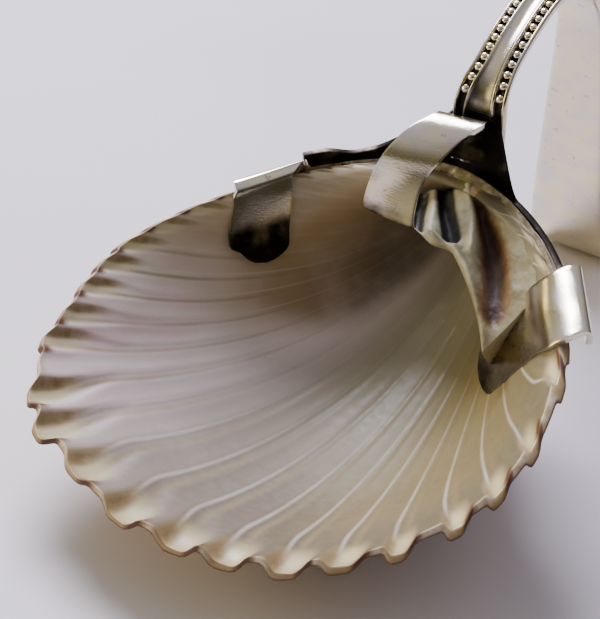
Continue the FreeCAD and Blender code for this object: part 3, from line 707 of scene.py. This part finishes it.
# black low at the root beside the stem, painted shade under the strap's arch, and at the curled tip, painted
# dark reflection; both laid on as tarnish
STRAP_DARK = [(0.24, 0.95), (0.36, 0.1), (0.5, 0.02), (0.86, 0.12), (0.95, 0.7), (1.0, 0.9)]
strap = ribbon("middle_claw", STRAP_LEFT, STRAP_RIGHT, 110, 22, 0.02, STRAP_DARK)

# %% [markdown]
# ## Arms along the back margin
# From claw to claw the same sheet stands on edge behind the shell and flares up into the stem.

# %% Arms
HANDLE_X = 2.1
FLARE_TOP = 7.0
LOW_LEFT_ARM = 0.55
HIDDEN_RIGHT_ARM = -0.55
ARM_OFFSET = 0.55 + 0.42
EGG_CENTRE_Y = -0.9 * HALF_WIDTH
SMALL_STEP = 0.001


def arm_top(x):
    """Height of the upper edge: a flare at the stem, low towards the claws."""
    if x > HANDLE_X:
        return mix(FLARE_TOP, HIDDEN_RIGHT_ARM, smooth_step(x, HANDLE_X + 2.15, HANDLE_X + 5.6) ** 0.7)
    away_left = HANDLE_X - 1.93 - x
    flare = math.exp(-max(0.0, away_left / 3.4) ** 1.5)
    notch = 0.77 * smooth_step(-x, 9.4, 12.0) + 1.3 * bump_at(x, -4.5, 2.6)
    return mix(LOW_LEFT_ARM, FLARE_TOP, flare) + notch * (1.0 - flare)


def outline_point(angle, offset):
    """A point off the outline in a direction seen from inside the valve."""
    reach = reach_along(0.0, EGG_CENTRE_Y, math.sin(angle), math.cos(angle))
    spot = Vector((math.sin(angle) * reach, EGG_CENTRE_Y + math.cos(angle) * reach, 0.0))
    here = egg(spot.x, spot.y)
    slope = Vector((egg(spot.x + SMALL_STEP, spot.y) - here, egg(spot.x, spot.y + SMALL_STEP) - here, 0.0))
    return spot + slope.normalized() * offset


arms = bmesh.new()
bmesh.ops.create_grid(arms, x_segments=150, y_segments=12, size=1.0)
arms_painted_shade = arms.verts.layers.float.new("tarnish_and_shade")
FIRST_ARM = math.atan2(-13.2, -5.2 + 0.9 * HALF_WIDTH)
LAST_ARM = math.atan2(17.2, -6.4 + 0.9 * HALF_WIDTH)
for vertex in arms.verts:
    u, v = grid_share(vertex)
    spot = outline_point(mix(FIRST_ARM, LAST_ARM, u), ARM_OFFSET)
    foot = -1.5 * (1.0 - 0.5 * smooth_step(abs(spot.x), 6.7, 13.4))
    spot.z = mix(foot, arm_top(spot.x), v)
    vertex.co = spot
    # the whole arm sheet is painted black: it stands in shade behind the shell
    vertex[arms_painted_shade] = 1.0
arms.normal_update()
if sum(face.normal.y for face in arms.faces) < 0.0:
    bmesh.ops.reverse_faces(arms, faces=arms.faces)
print("arms", len(arms.faces), "faces")

# %% [markdown]
# ## The stem
# The stem is cast or rolled: a thin plain rim, a dark channel with a row of beads on each side, two raised
# ridges and a hollow panel between them. Its section is swept along the bent middle line, wide at the end and
# narrow at the neck. The beads are small spheres with few faces, because there are more than a hundred of them.

# %% Middle line of the stem
# length, and heading above the level at its start and end
STEM_BENDS = [(6.4, 90.0, 90.0), (2.883, 90.0, 31.0), (9.634, 31.0, 8.0), (20.420, 8.0, -82.0),
              (31.897, -82.0, -82.0), (12.985, -82.0, -20.0)]
STEM_LENGTH = sum(piece[0] for piece in STEM_BENDS)
STEM_START = (2.8074, 0.6)
NECK_HALF_WIDTH = 2.15
END_HALF_WIDTH = 5.25


def stem_spot(s):
    """Place and heading of the middle line after length s."""
    y, z = STEM_START
    heading = 90.0
    for length, start, stop in STEM_BENDS:
        part = min(s, length)
        heading = mix(start, stop, part / length)
        turn = math.radians(heading - start)
        chord = part if abs(turn) < 1e-9 else part * math.sin(turn / 2.0) / (turn / 2.0)
        course = math.radians((heading + start) / 2.0)
        y += chord * math.cos(course)
        z += chord * math.sin(course)
        s -= part
        if s <= 0.0:
            break
    return y, z, math.radians(heading)


def stem_half_width(s):
    """Half the width after length s: spread at the root, narrow at the neck, and round at the end."""
    round_from = STEM_LENGTH - END_HALF_WIDTH
    wide = mix(NECK_HALF_WIDTH, END_HALF_WIDTH, smooth_step(s, 15.8, round_from) ** 1.3)
    wide += 0.54 * fade_out(s, 5.9, 11.8)
    last = max(0.0, (s - round_from) / END_HALF_WIDTH)
    return max(wide * math.sqrt(max(0.0, 1.0 - last * last)), 0.02)


def on_stem(s, x, height):
    y, z, heading = stem_spot(s)
    return Vector((HANDLE_X + x, y - height * math.sin(heading), z + height * math.cos(heading)))


print("stem length", round(STEM_LENGTH, 1), "mm")

# %% Sweep the section
# inset from the edge and height of the right half, from the middle of the back round to the middle of the face
STEM_SECTION = [(None, -0.66), (0.9, -0.62), (0.35, -0.58), (0.08, -0.42), (0.0, -0.1), (0.0, 0.25),
                (0.06, 0.45), (0.16, 0.52), (0.27, 0.50), (0.32, 0.38), (0.36, 0.22), (0.72, 0.20),
                (1.08, 0.22), (1.12, 0.38), (1.18, 0.60), (1.28, 0.68), (1.40, 0.62), (1.50, 0.46),
                (1.62, 0.36), (None, 0.26)]
STEM_STATIONS = 330


def section_point(s, inset, height, side):
    """A point of the section, whose relief fades out at the root and at the end."""
    wide = stem_half_width(s)
    fade = smooth_step(min(s - 5.0, (STEM_LENGTH - s) * 1.4), 0.2, 3.2)
    if height > 0.3:
        height = mix(0.5, height, fade)
    elif height > 0.0:
        height = mix(0.44, height, fade)
    if inset is None:
        return on_stem(s, 0.0, height)
    shrink = min(1.0, wide / 1.9)
    return on_stem(s, side * max(0.0, wide - inset * shrink), height)


loop = [(inset, height, 1.0) for inset, height in STEM_SECTION]
loop += [(inset, height, -1.0) for inset, height in STEM_SECTION[-2:0:-1]] + [STEM_SECTION[0] + (1.0,)]
stem = bmesh.new()
bmesh.ops.create_grid(stem, x_segments=STEM_STATIONS, y_segments=len(loop) - 1, size=1.0)
stem_tarnish = stem.verts.layers.float.new("tarnish_and_shade")
for vertex in stem.verts:
    share, round_section = grid_share(vertex)
    crowded_end = 1.0 - 0.1 * ((1.0 - share) / 0.1) ** 1.6
    s = STEM_LENGTH * (share if share < 0.9 else crowded_end)
    inset, height, side = loop[round(round_section * (len(loop) - 1))]
    vertex.co = section_point(s, inset, height, side)
    channel = 1.0 if inset is not None and 0.3 < inset < 1.11 and 0.0 < height < 0.3 else 0.0
    panel = 0.22 if (inset is None or inset > 1.45) and height > 0.0 else 0.0
    left_rim = 0.5 if side < 0.0 and inset is not None and inset < 0.3 else 0.0
    root = fade_out(s, 8.0, 12.5)
    vertex[stem_tarnish] = min(1.0, max(channel, left_rim, panel + 0.6 * root))
close_up(stem, 0.002)

# %% Beads
BEAD_PITCH = 1.15
BEAD_SHAPE = Matrix.Diagonal((0.43, 0.46, 0.30, 1.0))
BEAD_INSET = 0.72
BEAD_SEAT = 0.27
FIRST_BEAD = 7.5
PLAIN_END = 5.8
beads = bmesh.new()
bead_count = int((STEM_LENGTH - PLAIN_END - FIRST_BEAD) / BEAD_PITCH)
for k in range(bead_count):
    s = FIRST_BEAD + BEAD_PITCH * (k + 0.5)
    y, z, heading = stem_spot(s)
    for side in (1.0, -1.0):
        x = side * (stem_half_width(s) - BEAD_INSET)
        seat = Matrix.Translation(on_stem(s, x, BEAD_SEAT)) @ Matrix.Rotation(heading, 4, "X") @ BEAD_SHAPE
        bmesh.ops.create_uvsphere(beads, u_segments=10, v_segments=6, radius=1.0, matrix=seat)
print(2 * bead_count, "beads of", len(beads.faces) // (2 * bead_count), "faces")

# %% [markdown]
# ## Shell finish
# Inside, the shell is nacre: layers of aragonite thinner than light waves, which give a milky gloss with rose
# and green tints. The outside is plain chalky shell with growth bands. Broad regions of tint are stored on the
# points because they follow the growth of the shell. The fine bands, lines and specks come from nodes. Each
# colour is painted as coats over a ground, from the broadest tint to the smallest speck.

# %% Regions of tint on the wall
def soft_box(value, low, high, soft):
    return smooth_step(value, low - soft, low + soft) * fade_out(value, high - soft, high + soft)


def region_tints(theta, share):
    """Tints that follow growth: brown by the beak, partly old stain and partly painted shade of its hollow, tan
    on the right, rose on the left, green in the middle.
    """
    edge_of_stain = mix(-36.0, -22.0, smooth_step(share, 0.28, 0.66))
    # brown by the beak: partly old stain, partly painted shade of the beak's hollow, with a soft shadow edge
    # across the bowl
    beak_stain_and_shade = fade_out(theta, edge_of_stain - 6.0, edge_of_stain + 3.0) * smooth_step(share, 0.16, 0.40)
    tan = soft_box(theta, 6.0, 40.0, 8.0) * soft_box(share, 0.12, 0.60, 0.09)
    rose = soft_box(theta, -44.0, -24.0, 7.0) * soft_box(share, 0.0, 0.24, 0.04)
    green = soft_box(theta, -17.0, 10.0, 8.0) * soft_box(share, 0.30, 0.80, 0.12)
    smooth_side = fade_out(theta, -52.0, -42.0)
    return {"beak_stain_and_shade": beak_stain_and_shade, "tan": tan, "rose": rose, "green": green, "side": smooth_side}


tint_layers = {name: valve.verts.layers.float.new(name) for name in ("beak_stain_and_shade", "tan", "rose", "green", "side")}
for vertex in valve.verts:
    theta = math.degrees(rib_angle(vertex[marks["rib"]]))
    for name, value in region_tints(theta, vertex[marks["growth"]]).items():
        vertex[tint_layers[name]] = value
print("tints stored for", len(valve.verts), "points")

# %% What the shell's colours are made from
shell_finish, tree = new_material("mother of pearl and chalky shell")
rib, growth, inside, groove_mark, left_flank_shade, underside_brown_and_shade = [
    node(tree, "Attribute", out="Fac", attribute_name=name) for name in marks]
beak_stain_and_shade, tan, rose, green, side_mark = [
    node(tree, "Attribute", out="Fac", attribute_name=name) for name in tint_layers]
place = node(tree, "TexCoord", out="Object")
cloud, fine, speck, mottle = [
    node(tree, "TexNoise", {"Vector": place, "Scale": MM_PER_M / size, "Detail": detail, "Roughness": GRAIN})
    for size, detail in ((7.0, 4.0), (0.9, 4.0), (0.35, 2.0), (5.0, 5.0))]
# streaks run up the bowl with the ribs, and the outside has bands across them
STREAKS_PER_RIB = 1.5
STREAKS_PER_GROWTH = 4.5
BANDS_PER_GROWTH = 34.0
across_ribs = node(tree, "Math", (rib, STREAKS_PER_RIB), operation="MULTIPLY")
up_the_bowl = node(tree, "Math", (growth, STREAKS_PER_GROWTH), operation="MULTIPLY")
streak_place = node(tree, "CombineXYZ", {"X": across_ribs, "Y": up_the_bowl})
streak = node(tree, "TexNoise", {"Vector": streak_place, "Scale": 1.0, "Detail": 4.0})
band_place = node(tree, "Math", (growth, BANDS_PER_GROWTH), operation="MULTIPLY")
bands = node(tree, "TexNoise", {"W": band_place, "Scale": 1.0, "Detail": 3.0}, noise_dimensions="1D")
# how far a place is from a groove, where a line of painted shade runs (first), and from a line of painted
# highlight just beside it (second), in ribs
shifted = [node(tree, "Math", (rib, shift), operation="ADD") for shift in (99.90, 100.15)]
shade_line_gap, highlight_line_gap = [node(tree, "Math", (place, 0.5), operation="PINGPONG") for place in shifted]
# beyond 13 ribs on the right, or as far on the left, lies the hinge line
left_ribs = node(tree, "Math", (-4.4, rib), operation="SUBTRACT")
ribs_out = node(tree, "Math", (rib, left_ribs), operation="MAXIMUM")
print("shell finish starts from", len(tree.nodes), "nodes")

# %% Nacre inside
across = node(tree, "MapRange", (rib, -10.0, 10.0), interpolation_type="SMOOTHSTEP")
ground = node(tree, "ValToRGB", [across], stops=[(0.0, "CABEAE"), (0.22, "DACCCA"), (0.42, "93877E"),
                                                    (0.60, "71685B"), (0.78, "6E6850"), (1.0, "7C7660")])
# browns for the beak's stain and its painted shade, darker towards the beak
stain_and_shade_colours = node(tree, "ValToRGB", [growth], stops=[(0.25, "B0946C"), (0.45, "886B43"), (0.64, "40301A")])
line_fade = [(growth, 0.03, 0.66, 1.0, 0.15), (cloud, 0.25, 0.6, 0.6, 1.0), (side_mark, 0.0, 1.0, 1.0, 0.15)]
channel_end = (growth, 0.035, 0.085, 1.0, 0.0)
pearl = paint_over(tree, ground, [
    ("AC9A78", side_mark, (streak, 0.3, 0.6, 0.35, 0.9)),
    ("D3B4B8", rose, (streak, 0.42, 0.58, 0.0, 0.75)),
    ("8F8058", tan, 0.8),
    ("928C70", green, 0.8),
    # brown by the beak: partly old stain, partly painted shade of the beak's hollow
    (stain_and_shade_colours, beak_stain_and_shade, (cloud, 0.2, 0.65, 0.5, 0.88)),
    ("5C4E2E", (growth, 0.22, 0.42, 1.0, 0.0), (rib, -6.5, -1.5), 0.40),
    ("5E5436", (growth, 0.66, 0.88), 0.7),
    # each groove: a greenish-brown line of painted shade with a thin pale line of painted highlight beside it,
    # fading up the bowl
    ("827453", (shade_line_gap, 0.0, 0.15, 1.0, 0.0), *line_fade, 0.85),
    ("D8CFC4", (highlight_line_gap, 0.0, 0.08, 1.0, 0.0), *line_fade, 0.55),
    # soft olive wedges in the channels at the margin, painted shade on each channel's left flank, a thin
    # stained edge, dark brown beside each tooth that is partly its brown underside and partly painted shade
    # under the arch, and a few dark specks
    ("C4B88C", groove_mark, channel_end, (cloud, 0.3, 0.6, 0.65, 0.95)),
    ("86704A", left_flank_shade, channel_end, (fine, 0.3, 0.7, 0.7, 1.0)),
    ("A08458", (growth, 0.0, 0.014, 1.0, 0.0), (fine, 0.4, 0.65, 0.1, 0.75)),
    ("5E3310", underside_brown_and_shade, (growth, 0.004, 0.022, 1.0, 0.0)),
    ("7A6A4C", (speck, 0.70, 0.78), 0.35)])
print("nacre is painted, with", len(tree.nodes), "nodes so far")

# %% Chalk outside, and both on one sheet
chalk_ground = node(tree, "ValToRGB", [mottle], stops=[(0.30, "6E4A28"), (0.48, "A07A4C"), (0.62, "BFA67C"),
                                                          (0.8, "D8CBB0")])
chalk = paint_over(tree, chalk_ground, [("5A381C", (bands, 0.42, 0.62, 0.0, 0.6)),
                                        ("4A2408", (growth, 0.02, 0.10, 0.92, 0.0))])
rim = paint_over(tree, linear("B39A70"), [("CFC3AC", (fine, 0.35, 0.7)), ("8A6E3C", groove_mark, 0.8),
                                          # dark brown beside each tooth: partly its brown underside, partly
                                          # painted shade under the arch
                                          ("4E2608", underside_brown_and_shade)])
colour = paint_over(tree, rim, [(pearl, (inside, 0.85, 1.0)), ("5E5638", (ribs_out, 12.6, 13.4), 0.9),
                                (chalk, (inside, 0.0, 0.3, 1.0, 0.0))])
fine_relief = node(tree, "Math", (fine, 0.6), operation="MULTIPLY")
relief = node(tree, "Math", (speck, 0.25, fine_relief), operation="MULTIPLY_ADD")
bump = node(tree, "Bump", {"Height": relief, "Strength": 0.22, "Distance": 0.00018})
# chalk is dull and nacre has a milky gloss; a thin clear coat gives the eye its soft second highlight
dullness, uneven = [
    node(tree, "MapRange", step, interpolation_type="SMOOTHSTEP")
    for step in ((inside, 0.6, 1.0, 0.75, 0.44), (fine, 0.3, 0.8, -0.06, 0.12))]
gloss = node(tree, "Math", (dullness, uneven), operation="ADD")
shader = node(tree, "BsdfPrincipled", {"Base Color": colour, "Roughness": gloss, "Normal": bump,
                                       "IOR": SHELL_IOR, "Coat Weight": 0.10, "Coat Roughness": 0.25})
node(tree, "OutputMaterial", {"Surface": shader}, out=None)
print("shell finish has", len(tree.nodes), "nodes")

# %% Stained hinge
hinge_finish, tree = new_material("worn shell hinge with old stain and painted shade")
slot_shade_mark, pit_mark, crest_mark, toward_margin, outside_mark = [
    node(tree, "Attribute", out="Fac", attribute_name=name) for name in hinge_marks]
place = node(tree, "TexCoord", out="Object")
cloud, fine, wear = [
    node(tree, "TexNoise", {"Vector": place, "Scale": MM_PER_M / size, "Detail": 4.0, "Roughness": GRAIN})
    for size in (3.2, 0.6, 2.2)]
ground = node(tree, "ValToRGB", [cloud], stops=[(0.25, "6E6644"), (0.5, "938D70"), (0.75, "A8A68E")])
worn_outside = node(tree, "ValToRGB", [wear], stops=[(0.35, "84644F"), (0.5, "A98A74"), (0.65, "BCA794")])
ragged_pit = node(tree, "Math", (fine, 0.3, pit_mark), operation="MULTIPLY_ADD")
colour = paint_over(tree, ground, [
    ("6F6142", (toward_margin, 0.78, 1.0), (fine, 0.35, 0.6)),
    ("D2CDB6", crest_mark, 0.7),
    ("67471F", (ragged_pit, 0.22, 0.75)),
    ("34190A", (pit_mark, 0.45, 0.85)),
    # painted shade: black in the slot and in the hollow beside the knob, under the middle claw
    ("060403", (slot_shade_mark, 0.15, 0.55)),
    (worn_outside, outside_mark)])
bump = node(tree, "Bump", {"Height": fine, "Strength": 0.45, "Distance": 0.00025})
# worn shell shines a little; the stained pit and the slot are dull, so that they stay dark to the eye
plain_dullness = node(tree, "MapRange", (fine, 0.3, 0.7, 0.42, 0.62),
                      interpolation_type="SMOOTHSTEP")
hollow_mark = node(tree, "Math", (slot_shade_mark, pit_mark), operation="MAXIMUM")
hollow_dullness = node(tree, "Math", (hollow_mark, 0.7), operation="MULTIPLY")
dull = node(tree, "Math", (plain_dullness, hollow_dullness), operation="MAXIMUM")
shader = node(tree, "BsdfPrincipled", {"Base Color": colour, "Roughness": dull, "Normal": bump,
                                       "IOR": SHELL_IOR})
node(tree, "OutputMaterial", {"Surface": shader}, out=None)
print("hinge finish has", len(tree.nodes), "nodes")

# %% [markdown]
# ## Silver finish
# Sterling silver sheet that was polished by hand and has been used. It mirrors its surroundings with a slight
# blur, is covered with fine scratches, and keeps black sulphide where a cloth never reaches. The same black is
# painted as shade over the arms behind the shell, and as dark reflection and shade on the claws' lower legs
# and on the middle claw's root and tip.

# %% Polished and tarnished silver
silver_finish, tree = new_material("hand polished sterling silver with tarnish")
tarnish_and_shade = node(tree, "Attribute", out="Fac", attribute_name="tarnish_and_shade")
place = node(tree, "TexCoord", out="Object")
polishing = node(tree, "Mapping", {"Vector": place, "Rotation": (0.3, 0.5, 0.9), "Scale": (0.12, 1.0, 1.0)})
cloud, fine, nick = [
    node(tree, "TexNoise", {"Vector": place, "Scale": MM_PER_M / size, "Detail": detail, "Roughness": GRAIN})
    for size, detail in ((2.6, 4.0), (0.35, 3.0), (0.8, 2.0))]
scratch = node(tree, "TexNoise", {"Vector": polishing, "Scale": MM_PER_M / 0.16, "Detail": 2.0,
                                  "Roughness": 0.7})
uneven = node(tree, "Math", (cloud, 0.5), operation="SUBTRACT")
sulphide_and_shade = node(tree, "Math", (uneven, 0.6, tarnish_and_shade), operation="MULTIPLY_ADD")
dark, blur = [
    node(tree, "MapRange", step, interpolation_type="SMOOTHSTEP")
    for step in ((sulphide_and_shade, 0.35, 1.0, 0.0, 1.0), (cloud, 0.3, 0.75, 0.13, 0.24))]
colour = paint_over(tree, linear("E4D9B2"), [
    ("D4CCC2", (cloud, 0.3, 0.7)),
    ("6A5A4C", (nick, 0.66, 0.72, 0.0, 0.35)),
    ("17120E", dark)])
# a nearly sharp mirror; scratches stretch its highlights, and the sulphide and painted shade blur and swallow
# them
rough = node(tree, "Math", (dark, 0.2, blur), operation="MULTIPLY_ADD")
height = node(tree, "Math", (fine, 0.5, scratch), operation="MULTIPLY_ADD")
bump = node(tree, "Bump", {"Height": height, "Strength": 0.24, "Distance": 0.00005})
shader = node(tree, "BsdfPrincipled", {"Base Color": colour, "Metallic": 1.0, "Roughness": rough,
                                       "Normal": bump})
node(tree, "OutputMaterial", {"Surface": shader}, out=None)
print("silver finish has", len(tree.nodes), "nodes")

# %% Turn the drawn shapes into pieces
shell_piece = finish_mesh(valve, "shell_valve", shell_finish)
hinge_piece = finish_mesh(hinge, "shell_hinge", hinge_finish)
stem_piece, bead_piece, arms_piece, left_piece, right_piece, strap_piece = [
    finish_mesh(shape, name, silver_finish)
    for shape, name in ((stem, "stem"), (beads, "stem_beads"), (arms, "arms"), (left_claw, "left_claw"),
                        (right_claw, "right_claw"), (strap, "middle_claw"))]
for item in (arms_piece, left_piece, right_piece, strap_piece):
    sheet_thickness(item)
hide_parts("shell_bowl")
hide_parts("handle")
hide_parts("centre_claw")
for item in (shell_piece, hinge_piece):
    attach(item, "root")
for item in (stem_piece, bead_piece, arms_piece, left_piece, right_piece, strap_piece):
    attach(item, "root")

# %% [markdown]
# ## Floor, camera and light
# A pale sheet of paper, and the soft light of a room: a wide window behind on the left, a warm wall in front on
# the left that the claws mirror as cream, and darkness low on the right that draws their black reflections.

# %% Floor
paper_sheet = bmesh.new()
bmesh.ops.create_grid(paper_sheet, x_segments=1, y_segments=1, size=3.0)
floor_mesh = bpy.data.meshes.new("floor")
paper_sheet.to_mesh(floor_mesh)
paper_sheet.free()
# plain matt paper: a cool white that clouds a little and mirrors nothing
floor_finish, tree = new_material("smooth white paper")
cloud = node(tree, "TexNoise", {"Vector": node(tree, "TexCoord", out="Object"), "Scale": MM_PER_M / 60.0,
                                "Detail": 2.0, "Roughness": GRAIN})
paper = node(tree, "ValToRGB", [cloud], stops=[(0.3, "CFCBD2"), (0.7, "D6D2D6")])
shader = node(tree, "BsdfPrincipled", {"Base Color": paper, "Roughness": 0.55})
node(tree, "OutputMaterial", {"Surface": shader}, out=None)
floor_mesh.materials.append(floor_finish)
floor = add_object("floor", floor_mesh)
print("floor", [round(side, 2) for side in floor.dimensions], "m")

# %% Camera
FORWARD = Vector((-0.4099, 0.5621, -0.7184))
UP = Vector((-0.3613, 0.6231, 0.6937))
SENSOR_MM = 36.0
FOCAL_PX = 1203.23
PICTURE_PX = 600.0
camera_data = bpy.data.cameras.new("camera")
camera_data.sensor_fit = "HORIZONTAL"
camera_data.sensor_width = SENSOR_MM
camera_data.lens = SENSOR_MM * FOCAL_PX / PICTURE_PX
camera_data.clip_start = 0.005
camera = add_object("camera", camera_data)
back = -(TURN @ FORWARD).normalized()
side = (TURN @ UP).cross(back).normalized()
upright = back.cross(side)
camera.matrix_world = Matrix.Translation(at_rest(EYE)) @ Matrix((side, upright, back)).transposed().to_4x4()
bpy.context.scene.camera = camera
print("camera at", [round(c, 3) for c in camera.location])

# %% Light
BOWL = Vector((0.0, -0.01, 0.012))


def soft_light(name, place, size, watts, code):
    data = bpy.data.lights.new(name, "AREA")
    data.shape = "RECTANGLE"
    data.size = size[0]
    data.size_y = size[1]
    data.energy = watts
    data.color = linear(code)[:3]
    lamp = add_object(name, data)
    lamp.location = place
    lamp.rotation_euler = (BOWL - Vector(place)).to_track_quat("-Z", "Y").to_euler()


soft_light("window", (-0.28, 0.20, 0.44), (0.30, 0.26), 7.2, "F0EEFF")
soft_light("warm_wall", (-0.50, -0.30, 0.16), (0.34, 0.30), 2.6, "FFEDB8")
print("lights", [lamp.name for lamp in bpy.data.lights])

# %% The room around
world = bpy.data.worlds.new("room")
bpy.context.scene.world = world
world.use_nodes = True
tree = world.node_tree
tree.nodes.clear()
way = node(tree, "SeparateXYZ", {"Vector": node(tree, "TexCoord", out="Generated")}, out=None)
height = node(tree, "MapRange", (way.outputs["Z"], -0.2, 1.0), interpolation_type="SMOOTHSTEP")
lift = node(tree, "ValToRGB", [height], stops=[(0.0, "3A3836"), (0.35, "8E8A88"), (1.0, "E4E2F0")])
to_front = node(tree, "Math", (way.outputs["Y"], -0.6), operation="MULTIPLY")
to_dark, to_warm = [
    node(tree, "Math", (way.outputs["X"], part, to_front), operation="MULTIPLY_ADD")
    for part in (0.8, -0.8)]
glow = paint_over(tree, lift, [("4A443C", (to_dark, 0.3, 1.0)), ("E6DCB4", (to_warm, 0.2, 0.95, 0.0, 0.8))])
air = node(tree, "Background", {"Color": glow, "Strength": 0.75})
node(tree, "OutputWorld", {"Surface": air}, out=None)
print("room has", len(tree.nodes), "nodes")
